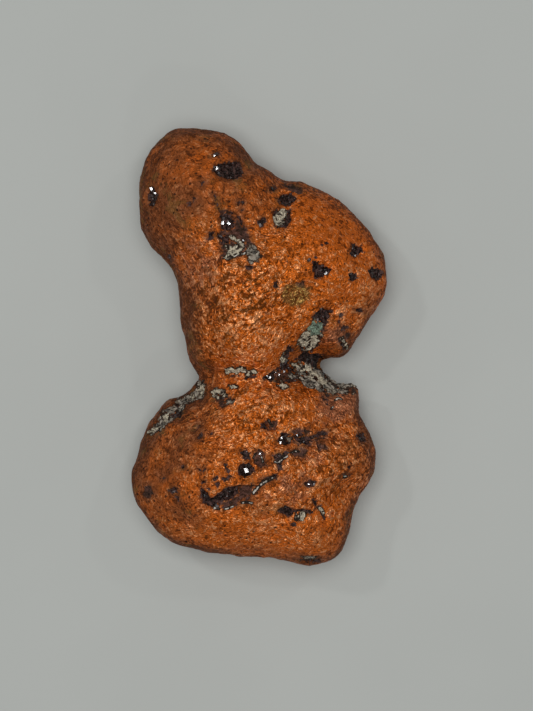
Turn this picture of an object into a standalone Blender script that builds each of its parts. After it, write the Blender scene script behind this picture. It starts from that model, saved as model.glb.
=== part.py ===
"""A native copper nugget, 75 mm long: one lump of metal with two lobes joined at a waist.

Run with: blender --background --python part.py
The nugget lies flat, +Y towards its head, +Z up, resting on worn flats at z = 0.
"""
import math
from typing import NamedTuple

import bmesh
import bpy
import numpy as np
from mathutils import Vector, noise

MM = 0.001                      # all sizes below are millimetres

# ---------------------------------------------------------------- driving sizes
RIM_HEIGHT = 10.5               # widest girdle of the lump above its lowest point
RIM_WANDER = 3.4                # how far the girdle rises and falls round the lump
RIM_WANDER_SPAN = 26.0          # distance over which it does so
BLANK_HALF_THICKNESS = 0.9      # the plate that is swollen into the lump
RIM_HALF_THICKNESS = 1.0        # what stays straight at the girdle

TOP_RISE = 10.2                 # shoulder height above the girdle, upper face
TOP_ROUND = 9.0                 # how far in from the rim the upper shoulder runs
TOP_CROWN = 2.6                 # slow rise beyond the shoulder
BOTTOM_DROP = 8.6               # the same three for the lower face
BOTTOM_ROUND = 10.5
BOTTOM_CROWN = 1.9
CROWN_SPAN = 5.0
RELIEF_START = 2.5              # distance in from the rim where lumps and creases reach full height
FACING_LIMIT = 0.15             # pits only sink skin that faces up or down at least this much
SHOULDER_POWER = 2.0            # 2 is a circle's quarter, more is squarer
SHOULDER_WANDER = 0.45          # how much the shoulders' run and rise differ from place to place
SHOULDER_SPAN = 15.0

BLANK_VOXEL = 0.8
LUMP_VOXEL = 0.55
ROUNDING_PASSES = 6
FLAT_DEPTH = 0.7                # metal worn off the lowest bumps
TRIANGLES = 9200
SNAP = 0.01                     # points closer than this are one point

SWELL_SPAN, SWELL_HEIGHT = 9.0, 0.9       # broad unevenness of the hammered-smooth metal
RIM_SHARE = 0.35                # share of that unevenness which reaches the girdle
DIMPLE_SPAN, DIMPLE_HEIGHT = 3.4, 0.22    # thumbnail dimples
NOISE_SHIFT = Vector((31.7, 12.9, 54.3))

COPPER = (0.36, 0.125, 0.045, 1.0)
COPPER_ROUGHNESS = 0.5
COPPER_METALLIC = 1.0

# ---------------------------------------------------------------- outline seen from above
# The girdle of each region, clockwise, as (x, y).
HEAD_RIM = [
    (-18.5, 17.4), (-20.1, 20.8), (-20.4, 23.1), (-20.3, 25.9), (-19.9, 29.4), (-18.5, 33.1),
    (-16.9, 34.9), (-15.2, 36.6), (-11.5, 37.5), (-8.2, 36.8), (-4.9, 35.8), (-2.1, 33.2),
    (-0.2, 31.0),
]
SHOULDER_RIM = [(2.3, 30.1), (3.9, 28.3), (6.7, 28.2)]
RIGHT_LOBE_RIM = [
    (9.8, 27.1), (13.5, 25.2), (17.0, 22.2), (19.1, 19.6), (21.2, 15.4), (22.1, 10.9),
    (20.9, 7.3), (18.4, 4.1), (17.7, 2.6), (16.8, 1.8), (16.4, 0.6), (14.4, -1.8),
]
NOTCH_RIM = [
    (11.9, -1.9), (9.2, -2.3), (10.1, -3.4), (12.1, -4.9), (13.0, -6.1), (14.9, -6.2),
    (15.9, -5.9), (17.0, -7.8),
]
LOWER_LOBE_RIM = [
    (17.1, -10.6), (18.3, -13.3), (19.4, -15.4), (20.2, -19.7), (19.5, -22.2), (18.8, -23.8),
    (17.6, -25.4), (15.3, -31.2), (14.8, -33.6), (13.3, -35.7), (10.7, -37.0), (8.3, -37.5),
    (6.6, -36.8), (2.0, -35.8), (-4.0, -35.2), (-9.9, -34.5), (-14.8, -32.8), (-18.5, -29.2),
    (-21.5, -25.2), (-22.0, -22.3), (-20.7, -18.8), (-19.0, -14.0),
]
FLAP_RIM = [(-17.5, -11.2), (-15.5, -9.1), (-13.1, -8.2), (-11.8, -7.6), (-11.4, -6.7)]
NECK_RIM = [
    (-9.9, -5.6), (-10.2, -4.7), (-11.6, -2.8), (-12.7, 2.5), (-13.3, 5.4), (-13.4, 8.9),
    (-14.6, 13.4), (-16.4, 15.5),
]
OUTLINE = (HEAD_RIM + SHOULDER_RIM + RIGHT_LOBE_RIM + NOTCH_RIM + LOWER_LOBE_RIM
           + FLAP_RIM + NECK_RIM)
CURVE_STEPS = 5                 # straight steps between two outline points


class Swelling(NamedTuple):
    """A rounded rise (or, with a negative rise, a hollow) of one face."""

    x: float
    y: float
    reach_x: float
    reach_y: float
    rise: float


class Crease(NamedTuple):
    """A valley along a line of points, with soft sides."""

    route: tuple
    half_width: float
    depth: float


class Pit(NamedTuple):
    """An oval pit, sunk into the face, with a floor and fairly steep sides."""

    x: float
    y: float
    half_length: float
    half_width: float
    turn: float                 # degrees from +X, anticlockwise
    depth: float


class Dent(NamedTuple):
    """A round hollow pressed into the side, square to the skin; a negative depth is a knob."""

    x: float
    y: float
    z: float
    reach: float
    depth: float


# ---------------------------------------------------------------- upper face
TOP_SWELLINGS = (
    Swelling(-11.5, 26.0, 6.5, 7.5, 1.0),       # head
    Swelling(-3.5, 31.0, 3.0, 3.0, 0.5),        # brow beside the first pit
    Swelling(-4.0, 7.5, 7.5, 9.0, 1.2),         # body of the upper lobe
    Swelling(12.0, 17.5, 6.5, 6.5, 1.0),        # right lobe
    Swelling(15.5, 3.5, 3.0, 3.0, -1.2),        # knobbed corner above the notch
    Swelling(-4.5, 19.0, 4.0, 4.0, -0.9),       # hollow under the big patch
    Swelling(-2.0, -20.0, 11.0, 8.0, 2.2),      # crown of the lower lobe
    Swelling(13.0, -11.0, 4.0, 5.0, -1.6),      # slope beside the crusted ledge
    Swelling(9.5, -32.5, 4.5, 3.5, 1.0),        # toe
    Swelling(-16.5, -23.5, 5.0, 6.0, -1.0),     # low left cheek
)
WAIST = ((-9.9, -5.5), (-5.4, -4.4), (-1.3, -4.5), (0.7, -5.4), (4.6, -4.2), (9.2, -2.3))
LEDGE = ((6.6, -3.4), (9.0, -4.6), (11.6, -5.9), (13.5, -7.1), (16.0, -7.6))
FLAP_GROOVE = ((-9.4, -7.6), (-11.0, -8.5), (-13.4, -9.5), (-15.9, -11.7), (-17.0, -13.7),
               (-18.6, -15.0))
GREEN_CREVICE = ((12.2, 6.0), (10.7, 4.7), (9.4, 3.0), (8.9, 0.7), (8.0, -0.9))
GASH = ((-8.8, -24.4), (-7.6, -26.6), (-4.3, -26.9), (-1.8, -25.4), (0.2, -23.6), (3.0, -21.8))
TOP_CREASES = (
    Crease(WAIST, 3.4, 1.9),                    # broad saddle between the lobes
    Crease(WAIST, 1.1, 1.3),                    # and its sharp floor
    Crease(LEDGE, 2.0, 2.6),                    # crusted ledge under the notch
    Crease(FLAP_GROOVE, 0.9, 2.0),
    Crease(GREEN_CREVICE, 1.0, 1.7),
    Crease(((3.9, 28.2), (4.9, 24.4), (3.9, 21.4), (0.5, 18.0)), 1.9, 0.8),
    Crease(((3.6, -15.4), (7.0, -15.1), (11.4, -14.4)), 1.1, 0.7),
    Crease(GASH, 1.1, 1.0),
    Crease(((17.9, -24.4), (15.0, -23.6), (12.5, -22.9)), 1.2, 0.9),
    Crease(((9.4, -26.5), (11.4, -29.0)), 0.7, 0.6),
)
TOP_PITS = (
    Pit(-5.0, 29.1, 2.5, 1.4, 10.0, 1.5),
    Pit(-17.9, 25.1, 1.7, 0.9, 80.0, 1.2),
    Pit(-4.9, 20.6, 2.1, 1.9, 60.0, 0.9),
    Pit(5.0, 24.8, 1.3, 0.9, 0.0, 1.1),
    Pit(4.0, 21.4, 1.4, 1.3, 30.0, 1.2),
    Pit(16.7, 16.2, 1.1, 0.9, 0.0, 1.0),
    Pit(10.7, 12.6, 1.6, 1.3, -35.0, 1.3),
    Pit(19.9, 12.3, 1.2, 1.1, 0.0, 1.0),
    Pit(-13.7, -11.8, 1.0, 0.9, 40.0, 1.1),
    Pit(2.2, -12.6, 1.2, 1.0, 0.0, 0.8),
    Pit(0.4, -18.7, 1.6, 1.0, -60.0, 0.9),
    Pit(-2.0, -20.6, 1.4, 1.0, 10.0, 1.2),
    Pit(-3.9, -24.9, 2.2, 1.2, 5.0, 0.9),
    Pit(4.9, -27.4, 1.4, 0.8, -10.0, 1.0),
    Pit(17.4, -15.3, 1.0, 0.8, 60.0, 0.9),
    Pit(9.0, -36.4, 1.4, 0.7, 0.0, 0.8),
)

# ---------------------------------------------------------------- lower face
BOTTOM_SWELLINGS = (
    Swelling(-8.5, 25.0, 7.0, 7.0, 4.6),        # foot under the head
    Swelling(11.0, 15.5, 5.0, 5.5, 1.9),        # foot under the right lobe
    Swelling(0.0, 6.5, 6.0, 5.0, -1.4),         # hollow of the upper lobe
    Swelling(-8.5, -24.0, 6.0, 5.0, 2.5),       # left foot of the lower lobe
    Swelling(8.5, -23.0, 6.0, 6.0, 1.2),        # right foot of the lower lobe
    Swelling(0.5, -15.0, 4.0, 3.5, -1.2),
    Swelling(1.0, -31.0, 4.0, 3.0, -0.9),
)
BOTTOM_CREASES = (
    Crease(((-10.0, -5.2), (-3.0, -4.0), (3.0, -5.0), (9.2, -2.3)), 3.4, 2.4),
    Crease(((2.0, 28.5), (-1.5, 21.0), (-6.0, 15.5)), 1.8, 1.2),
    Crease(((-18.0, -17.0), (-12.0, -16.0), (-6.0, -18.5)), 1.3, 1.0),
    Crease(((3.5, 12.0), (9.0, 7.5), (15.0, 8.0)), 1.2, 0.9),
    Crease(((14.5, -12.0), (11.5, -16.0)), 1.2, 1.0),
)
BOTTOM_PITS = (
    Pit(-13.0, 21.0, 1.7, 1.1, 35.0, 1.1),
    Pit(-2.5, 30.5, 1.5, 1.0, -20.0, 1.0),
    Pit(4.0, 19.5, 1.3, 1.1, 0.0, 0.9),
    Pit(15.5, 20.0, 1.6, 1.0, -40.0, 1.1),
    Pit(16.5, 9.0, 1.1, 1.0, 0.0, 0.9),
    Pit(-5.5, 7.0, 2.2, 1.3, 60.0, 1.2),
    Pit(4.5, 3.5, 1.2, 0.9, 0.0, 0.9),
    Pit(-14.5, -13.0, 1.5, 1.0, 20.0, 1.0),
    Pit(1.0, -19.0, 2.0, 1.2, -30.0, 1.1),
    Pit(13.5, -18.0, 1.2, 1.0, 0.0, 0.9),
    Pit(-1.5, -29.0, 2.3, 1.1, 15.0, 1.1),
    Pit(12.0, -31.0, 1.3, 0.9, 50.0, 0.9),
    Pit(-15.0, -29.0, 1.4, 1.0, -45.0, 1.0),
)

# ---------------------------------------------------------------- sides, below the girdle
SIDE_DENTS = (
    Dent(-21.0, 21.5, 5.5, 4.5, 1.3),
    Dent(-16.0, 36.0, 4.5, 4.0, 1.1),
    Dent(-3.0, 34.0, 6.0, 3.5, 1.0),
    Dent(7.5, 28.0, 5.0, 4.0, 1.2),
    Dent(17.5, 21.5, 4.5, 4.5, 1.4),
    Dent(22.0, 9.0, 6.0, 3.5, 1.0),
    Dent(14.0, -1.0, 4.5, 4.0, 1.4),
    Dent(-14.0, 5.0, 6.0, 4.5, 1.3),
    Dent(18.5, -12.0, 5.5, 3.5, 1.1),
    Dent(19.5, -21.0, 4.5, 4.0, 1.0),
    Dent(15.0, -32.0, 5.0, 4.0, 1.3),
    Dent(1.5, -36.0, 6.0, 4.5, 1.2),
    Dent(-12.5, -33.5, 4.5, 4.5, 1.3),
    Dent(-21.5, -21.5, 6.0, 4.0, 1.2),
    Dent(-15.5, -10.0, 6.0, 3.5, 1.2),
    Dent(20.0, 15.5, 7.5, 2.2, -0.7),
    Dent(-19.5, -27.0, 6.5, 2.4, -0.7),
    Dent(8.5, -37.0, 7.0, 2.0, -0.6),
    Dent(-11.5, 37.0, 6.5, 2.2, -0.6),
    Dent(-14.5, 12.0, 7.0, 2.0, -0.6),
)


# ---------------------------------------------------------------- helpers
def empty_scene():
    """Remove whatever objects the file opened with."""
    for old in list(bpy.data.objects):
        bpy.data.objects.remove(old, do_unlink=True)


def link(name, data):
    """Put a mesh or a curve into the scene as an object."""
    made = bpy.data.objects.new(name, data)
    bpy.context.scene.collection.objects.link(made)
    return made


def baked(source, name):
    """The mesh of an object with its modifiers applied, as a new object; the source goes."""
    graph = bpy.context.evaluated_depsgraph_get()
    mesh = bpy.data.meshes.new_from_object(source.evaluated_get(graph))
    bpy.data.objects.remove(source, do_unlink=True)
    return link(name, mesh)


def remeshed(source, voxel):
    """Skin the object again with even faces of about the voxel's size."""
    skin = source.modifiers.new("skin", "REMESH")
    skin.mode = "VOXEL"
    skin.voxel_size = voxel * MM
    return baked(source, source.name)


def read_points(mesh):
    """Vertices of a mesh as an array, in millimetres."""
    flat = np.empty(len(mesh.vertices) * 3, dtype=np.float32)
    mesh.vertices.foreach_get("co", flat)
    return flat.reshape(-1, 3).astype(np.float64) / MM


def write_points(mesh, points):
    """Put an array of millimetre points back into the mesh."""
    mesh.vertices.foreach_set("co", (points * MM).astype(np.float32).ravel())
    mesh.update()


def read_normals(mesh):
    """Vertex normals of a mesh as an array."""
    flat = np.empty(len(mesh.vertices) * 3, dtype=np.float32)
    mesh.vertices.foreach_get("normal", flat)
    return flat.reshape(-1, 3).astype(np.float64)


def distance_to_line(points, route, closed=False):
    """Shortest distance in plan from each point to a line through the route's points."""
    corners = np.asarray(route, dtype=np.float64)
    ends = np.roll(corners, -1, axis=0) if closed else corners[1:]
    starts = corners if closed else corners[:-1]
    nearest = np.full(len(points), np.inf)
    for start, end in zip(starts, ends):
        run = end - start
        along = np.clip(((points - start) @ run) / (run @ run), 0.0, 1.0)
        gap = np.linalg.norm(points - start - along[:, None] * run, axis=1)
        nearest = np.minimum(nearest, gap)
    return nearest


def bell(distance):
    """A smooth bump: 1 at the middle, 0 from a distance of about 2."""
    return np.exp(-distance ** 2)


def unevenness(points, span):
    """Smooth noise between about -1 and 1 at every point, rising and falling over the span."""
    return np.array([noise.noise(Vector(point) / span + NOISE_SHIFT) for point in points])


# ---------------------------------------------------------------- the lump
def outline_curve():
    """The girdle seen from above, as a closed smooth curve extruded into a thin plate."""
    curve = bpy.data.curves.new("outline", "CURVE")
    curve.dimensions = "2D"
    curve.fill_mode = "BOTH"
    curve.resolution_u = CURVE_STEPS
    curve.extrude = BLANK_HALF_THICKNESS * MM
    spline = curve.splines.new("BEZIER")
    spline.bezier_points.add(len(OUTLINE) - 1)
    for knot, (x, y) in zip(spline.bezier_points, OUTLINE):
        knot.co = (x * MM, y * MM, 0.0)
        knot.handle_left_type = knot.handle_right_type = "AUTO"
    spline.use_cyclic_u = True
    return link("blank", curve)


def rim_line(blank):
    """Points along the blank's edge, in order, for measuring the distance to the rim."""
    bare = blank.data.copy()
    bare.extrude = 0.0
    bare.fill_mode = "NONE"
    bare.dimensions = "3D"
    guide = link("guide", bare)
    graph = bpy.context.evaluated_depsgraph_get()
    mesh = bpy.data.meshes.new_from_object(guide.evaluated_get(graph))
    line = read_points(mesh)[:, :2]
    bpy.data.objects.remove(guide, do_unlink=True)
    return line


def plate(blank):
    """Close the extruded curve into a watertight plate and skin it evenly."""
    solid = baked(blank, "copper_nugget")
    edit = bmesh.new()
    edit.from_mesh(solid.data)
    bmesh.ops.remove_doubles(edit, verts=edit.verts, dist=SNAP * MM)
    bmesh.ops.recalc_face_normals(edit, faces=edit.faces)
    edit.to_mesh(solid.data)
    edit.free()
    return remeshed(solid, BLANK_VOXEL)


def shoulder(inset, rise, run):
    """Height of a rounded shoulder at a distance in from the rim."""
    reach = np.clip(inset / run, 0.0, 1.0)
    return rise * (1.0 - (1.0 - reach) ** SHOULDER_POWER) ** (1.0 / SHOULDER_POWER)


def crown(inset, run, rise):
    """The slow rise beyond the shoulder."""
    return rise * (1.0 - np.exp(-np.maximum(inset - run * 0.5, 0.0) / CROWN_SPAN))


def relief(plan, swellings, creases):
    """Swellings and creases of one face, added up at each point of the plan."""
    height = np.zeros(len(plan))
    for s in swellings:
        away = np.hypot((plan[:, 0] - s.x) / s.reach_x, (plan[:, 1] - s.y) / s.reach_y)
        height += s.rise * bell(away)
    for crease in creases:
        height -= crease.depth * bell(distance_to_line(plan, crease.route) / crease.half_width)
    return height


def swell(solid, rim):
    """Press the plate out into the lump: each face rises with its distance from the rim."""
    points = read_points(solid.data)
    plan = points[:, :2]
    inset = distance_to_line(plan, rim, closed=True)
    side = np.clip(points[:, 2] / BLANK_HALF_THICKNESS, -1.0, 1.0)
    stretch = 1.0 + SHOULDER_WANDER * unevenness(points * (1, 1, 0), SHOULDER_SPAN)
    upper = (shoulder(inset, TOP_RISE, TOP_ROUND * stretch) + crown(inset, TOP_ROUND, TOP_CROWN)
             + relief(plan, TOP_SWELLINGS, TOP_CREASES) * np.clip(inset / RELIEF_START, 0.0, 1.0))
    lower = (shoulder(inset, BOTTOM_DROP, BOTTOM_ROUND / stretch)
             + crown(inset, BOTTOM_ROUND, BOTTOM_CROWN)
             + relief(plan, BOTTOM_SWELLINGS, BOTTOM_CREASES) * np.clip(inset / RELIEF_START, 0.0, 1.0))
    half = RIM_HALF_THICKNESS + np.maximum(np.where(side > 0.0, upper, lower), 0.0)
    girdle = RIM_HEIGHT + RIM_WANDER * unevenness(points * (1, 1, 0), RIM_WANDER_SPAN)
    points[:, 2] = girdle + side * half
    write_points(solid.data, points)


def round_off(solid):
    """Soften the lump's skin without shrinking it much."""
    smooth = solid.modifiers.new("soften", "SMOOTH")
    smooth.factor = 0.5
    smooth.iterations = ROUNDING_PASSES
    return baked(solid, solid.name)


def carve(solid, pits, upper):
    """Sink the pits of one face along Z."""
    points = read_points(solid.data)
    down = -1.0 if upper else 1.0
    facing = read_normals(solid.data)[:, 2] * down < -FACING_LIMIT
    for pit in pits:
        turn = math.radians(pit.turn)
        dx, dy = points[:, 0] - pit.x, points[:, 1] - pit.y
        along = (dx * math.cos(turn) + dy * math.sin(turn)) / pit.half_length
        across = (-dx * math.sin(turn) + dy * math.cos(turn)) / pit.half_width
        sunk = np.exp(-(along ** 2 + across ** 2) ** 2)
        points[:, 2] += down * pit.depth * sunk * facing
    write_points(solid.data, points)


def press_sides(solid):
    """Push the hollows and knobs of the sides in and out."""
    points = read_points(solid.data)
    normals = read_normals(solid.data)
    for dent in SIDE_DENTS:
        away = np.linalg.norm(points - (dent.x, dent.y, dent.z), axis=1) / dent.reach
        points -= normals * (dent.depth * bell(away))[:, None]
    write_points(solid.data, points)


def roughen(solid):
    """Give the skin its broad swells and small dimples."""
    points = read_points(solid.data)
    normals = read_normals(solid.data)
    level = RIM_SHARE + (1.0 - RIM_SHARE) * np.abs(normals[:, 2])
    lift = (SWELL_HEIGHT * level * unevenness(points, SWELL_SPAN)
            + DIMPLE_HEIGHT * unevenness(points, DIMPLE_SPAN))
    write_points(solid.data, points + normals * lift[:, None])


def thin_out(solid):
    """Bring the skin down to the wanted number of triangles."""
    edit = bmesh.new()
    edit.from_mesh(solid.data)
    bmesh.ops.triangulate(edit, faces=edit.faces)
    edit.to_mesh(solid.data)
    edit.free()
    fewer = solid.modifiers.new("thin", "DECIMATE")
    fewer.ratio = TRIANGLES / len(solid.data.polygons)
    return baked(solid, solid.name)


def wear_flats(solid):
    """Cut the lowest bumps off level, so that the nugget stands on small worn flats."""
    edit = bmesh.new()
    edit.from_mesh(solid.data)
    level = min(v.co.z for v in edit.verts) + FLAT_DEPTH * MM
    bmesh.ops.bisect_plane(
        edit, geom=edit.verts[:] + edit.edges[:] + edit.faces[:], dist=SNAP * MM,
        plane_co=(0.0, 0.0, level), plane_no=(0.0, 0.0, -1.0), clear_outer=True)
    for vert in edit.verts:
        vert.co.z = level if vert.co.z < level + SNAP * MM else vert.co.z
    rims = [e for e in edit.edges if e.is_boundary]
    bmesh.ops.triangle_fill(edit, use_beauty=True, edges=rims, normal=(0.0, 0.0, -1.0))
    bmesh.ops.recalc_face_normals(edit, faces=edit.faces)
    edit.to_mesh(solid.data)
    edit.free()


def stand_on_origin(solid):
    """Centre the lump's box over the origin, with its flats at z = 0."""
    points = read_points(solid.data)
    low, high = points.min(axis=0), points.max(axis=0)
    points -= ((low[0] + high[0]) / 2.0, (low[1] + high[1]) / 2.0, low[2])
    write_points(solid.data, points)


def copper():
    """Bare metal under a thin brown patina."""
    material = bpy.data.materials.new("native_copper")
    material.use_nodes = True
    surface = material.node_tree.nodes["Principled BSDF"]
    surface.inputs["Base Color"].default_value = COPPER
    surface.inputs["Roughness"].default_value = COPPER_ROUGHNESS
    surface.inputs["Metallic"].default_value = COPPER_METALLIC
    return material


def build():
    """Make the nugget."""
    empty_scene()
    blank = outline_curve()
    rim = rim_line(blank)
    nugget = plate(blank)
    swell(nugget, rim)
    nugget = remeshed(nugget, LUMP_VOXEL)
    nugget = round_off(nugget)
    press_sides(nugget)
    roughen(nugget)
    carve(nugget, TOP_PITS, upper=True)
    carve(nugget, BOTTOM_PITS, upper=False)
    nugget = thin_out(nugget)
    wear_flats(nugget)
    stand_on_origin(nugget)
    nugget.data.materials.append(copper())
    nugget.data.shade_smooth()


build()
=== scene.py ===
"""Looks of a native copper nugget: rough orange metal, brown patina, and mineral crusts in its pits.

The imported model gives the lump's shape. This script skins it finely, carves the pits and creases,
grows cuprite, matrix and malachite in them, and lights it softly on a plain pale floor.
Sizes are millimetres unless a name says otherwise, in the frame's own axes.
"""
import logging
import math
from dataclasses import dataclass, field
from enum import Enum
from functools import partial, reduce

import bmesh
import bpy
import numpy as np
from mathutils import Matrix, Vector, noise
from mathutils.bvhtree import BVHTree


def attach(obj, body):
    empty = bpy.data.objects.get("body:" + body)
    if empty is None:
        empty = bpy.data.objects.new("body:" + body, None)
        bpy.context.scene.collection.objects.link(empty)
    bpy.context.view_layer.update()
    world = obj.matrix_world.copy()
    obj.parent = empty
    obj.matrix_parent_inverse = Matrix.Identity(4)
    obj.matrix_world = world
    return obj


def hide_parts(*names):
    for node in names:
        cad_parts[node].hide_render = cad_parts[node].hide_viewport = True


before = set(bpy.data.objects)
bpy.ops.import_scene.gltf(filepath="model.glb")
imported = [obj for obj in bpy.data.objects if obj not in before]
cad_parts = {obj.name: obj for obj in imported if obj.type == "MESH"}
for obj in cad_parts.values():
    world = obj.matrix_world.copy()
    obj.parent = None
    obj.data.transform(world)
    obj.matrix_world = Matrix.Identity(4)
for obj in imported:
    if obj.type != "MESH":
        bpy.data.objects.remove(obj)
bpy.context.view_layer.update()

log = logging.getLogger("nugget")

MM = 0.001
NODE = "copper_nugget"
BODY = "root"
BAKE_MAP = "OFBake"

Point = tuple[float, float]
Band = tuple[float, float]
Colour = tuple[float, float, float]
Socket = bpy.types.NodeSocket
Value = float | Socket
Paint = Colour | Socket


# ------------------------------------------------------------------ what lies where
class Face(Enum):
    """Which face of the nugget a mark is on, as the sign of its outward Z."""

    UPPER = 1.0
    LOWER = -1.0


class Filling(Enum):
    """What a pit or crease holds, or a painted highlight line along its edge; the value names the mask that
    the copper's material reads.
    """

    CUPRITE = "cuprite"
    TARNISH = "tarnish"
    GREY = "grey"
    MATRIX = "matrix"
    MALACHITE = "malachite"
    OCHRE = "ochre"
    # painted highlight: thin pale lines standing in for light caught on pit edges
    HIGHLIGHT_RIM = "rim"


def gap_to_line(plan: np.ndarray, start: Point, end: Point) -> np.ndarray:
    """Measure how far each point is from a straight piece of line.

    Args:
        plan: points as rows of x and y.
        start: one end of the line.
        end: its other end.

    Returns:
        One distance a point.
    """
    run = np.subtract(end, start)
    along = np.clip(((plan - start) @ run) / (run @ run), 0.0, 1.0)
    return np.linalg.norm(plan - start - along[:, None] * run, axis=1)


@dataclass(frozen=True)
class Pit:
    """An oval pit.

    Attributes: x and y are its middle, half_length and half_width its half axes, turn the
    degrees from +X, depth how far its floor lies under the skin, and filling what it holds.
    """

    x: float
    y: float
    half_length: float
    half_width: float
    turn: float = 0.0
    depth: float = 0.3
    filling: Filling = Filling.CUPRITE

    def reach(self) -> float:
        """Half its narrow side."""
        return min(self.half_length, self.half_width)

    def corners(self) -> tuple[Point, ...]:
        """Two points whose box holds the oval."""
        long = self.half_length
        return (self.x - long, self.y - long), (self.x + long, self.y + long)

    def inside(self, plan: np.ndarray) -> np.ndarray:
        """Distance inside the outline at each point of the plan.

        Args:
            plan: points as rows of x and y.

        Returns:
            Millimetres inside the oval, negative outside.
        """
        turn = math.radians(self.turn)
        dx, dy = plan[:, 0] - self.x, plan[:, 1] - self.y
        along = (dx * math.cos(turn) + dy * math.sin(turn)) / self.half_length
        across = (dy * math.cos(turn) - dx * math.sin(turn)) / self.half_width
        return (1.0 - np.hypot(along, across)) * self.reach()


@dataclass(frozen=True)
class Seam:
    """A crease or a streak along a line of points."""

    route: tuple[Point, ...]
    half_width: float
    depth: float = 0.2
    filling: Filling = Filling.CUPRITE

    def reach(self) -> float:
        """Half its narrow side."""
        return self.half_width

    def corners(self) -> tuple[Point, ...]:
        """The points of the line."""
        return self.route

    def inside(self, plan: np.ndarray) -> np.ndarray:
        """Millimetres inside the streak at each point of the plan, negative outside."""
        gaps = [gap_to_line(plan, *ends) for ends in zip(self.route[:-1], self.route[1:])]
        return self.half_width - np.min(gaps, axis=0)


@dataclass(frozen=True)
class Patch:
    """A patch of any outline; half_width is that of its narrow side."""

    outline: tuple[Point, ...]
    half_width: float
    depth: float = 0.3
    filling: Filling = Filling.CUPRITE

    def reach(self) -> float:
        """Half its narrow side."""
        return self.half_width

    def corners(self) -> tuple[Point, ...]:
        """The points of the outline."""
        return self.outline

    def inside(self, plan: np.ndarray) -> np.ndarray:
        """Distance inside the outline at each point of the plan.

        Args:
            plan: points as rows of x and y.

        Returns:
            Millimetres inside the patch, negative outside.
        """
        nearest = np.full(len(plan), np.inf)
        within = np.zeros(len(plan), dtype=bool)
        for start, end in zip(self.outline, self.outline[1:] + self.outline[:1]):
            nearest = np.minimum(nearest, gap_to_line(plan, start, end))
            if start[1] != end[1]:
                share = (plan[:, 1] - start[1]) / (end[1] - start[1])
                crosses = (start[1] > plan[:, 1]) != (end[1] > plan[:, 1])
                within ^= crosses & (plan[:, 0] < start[0] + share * (end[0] - start[0]))
        return np.where(within, nearest, -nearest)


Mark = Pit | Seam | Patch
Marks = tuple[Mark, ...]
CUPRITE, TARNISH, GREY, MATRIX, MALACHITE, OCHRE, HIGHLIGHT_RIM = Filling
HEAD_MARKS: Marks = (
    Patch(((-7.6, 29.1), (-7.2, 29.9), (-4.8, 30.7), (-3.2, 31.0), (-2.5, 28.9), (-3.8, 27.8),
           (-6.4, 28.1)), 1.3, 0.6),
    Pit(-7.3, 31.7, 0.5, 0.3, 10, 0.15),
    Patch(((-18.4, 26.3), (-17.8, 26.6), (-16.7, 25.3), (-17.8, 23.4), (-18.5, 23.8)), 0.7, 0.5),
    Pit(-11.3, 23.7, 0.5, 0.28, 50, 0.25),
    Pit(-10.6, 24.5, 0.4, 0.22, -40, 0.2),
    Pit(-3.3, 23.8, 0.22, 0.2, 0, 0.2),
    Pit(-2.6, 23.9, 0.26, 0.22, 0, 0.2),
    Pit(-2.8, 22.6, 0.28, 0.2, 0, 0.2),
    Pit(2.3, 26.5, 0.5, 0.35, 0, 0.25),
    Pit(-9.2, 27.0, 0.3, 0.2, 40, 0.15),
    Pit(-15.1, 15.2, 0.35, 0.3, 0, 0.2),
    Seam(((-7.5, 25.2), (-6.9, 23.9), (-6.6, 22.8)), 0.14, 0.25),
)
BIG_PATCH_MARKS: Marks = (
    Patch(((-6.6, 22.4), (-5.2, 22.6), (-3.1, 21.5), (-2.3, 20.0), (-1.5, 18.0), (0.4, 14.8),
           (-0.3, 14.2), (-1.6, 14.0), (-2.1, 15.3), (-5.4, 14.4), (-6.2, 14.9), (-5.9, 16.5),
           (-6.9, 18.0), (-6.2, 20.0)), 1.4, 0.3, TARNISH),
    Patch(((-6.4, 21.6), (-5.4, 21.9), (-4.2, 21.0), (-4.2, 20.0), (-5.0, 19.4), (-6.1, 19.6)),
          0.7, 0.35),
    Seam(((-4.4, 22.0), (-3.2, 21.2), (-2.8, 20.2)), 0.18, 0.25),
    Patch(((-6.6, 18.3), (-4.9, 18.3), (-5.1, 17.2), (-6.1, 17.0)), 0.5, 0.3),
    Patch(((-1.9, 16.6), (-0.9, 16.9), (0.4, 14.8), (-0.3, 14.2), (-1.6, 14.0)), 0.8, 0.25, GREY),
    Seam(((-1.9, 15.8), (-1.6, 14.6)), 0.15, 0.35),
    Patch(((-5.4, 16.8), (-4.3, 16.3), (-3.3, 17.3), (-2.3, 17.2), (-2.9, 16.2), (-3.8, 15.2),
           (-5.1, 14.5), (-5.7, 14.7), (-4.9, 15.7)), 0.5, 0.1, MATRIX),
    Seam(((-4.6, 18.3), (-4.1, 17.8), (-3.4, 17.4)), 0.25, 0.0, MATRIX),
    Seam(((-3.2, 15.5), (-2.6, 15.4), (-2.2, 15.7)), 0.08, 0.0, HIGHLIGHT_RIM),
    Seam(((-5.3, 14.5), (-4.2, 14.9), (-3.5, 15.3)), 0.07, 0.0, HIGHLIGHT_RIM),
    Pit(-7.9, 18.4, 0.7, 0.4, 60, 0.25),
    Pit(-1.6, 13.2, 0.48, 0.42, 0, 0.3),
    Pit(0.5, 20.7, 0.7, 0.55, 60, 0.35),
)
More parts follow.
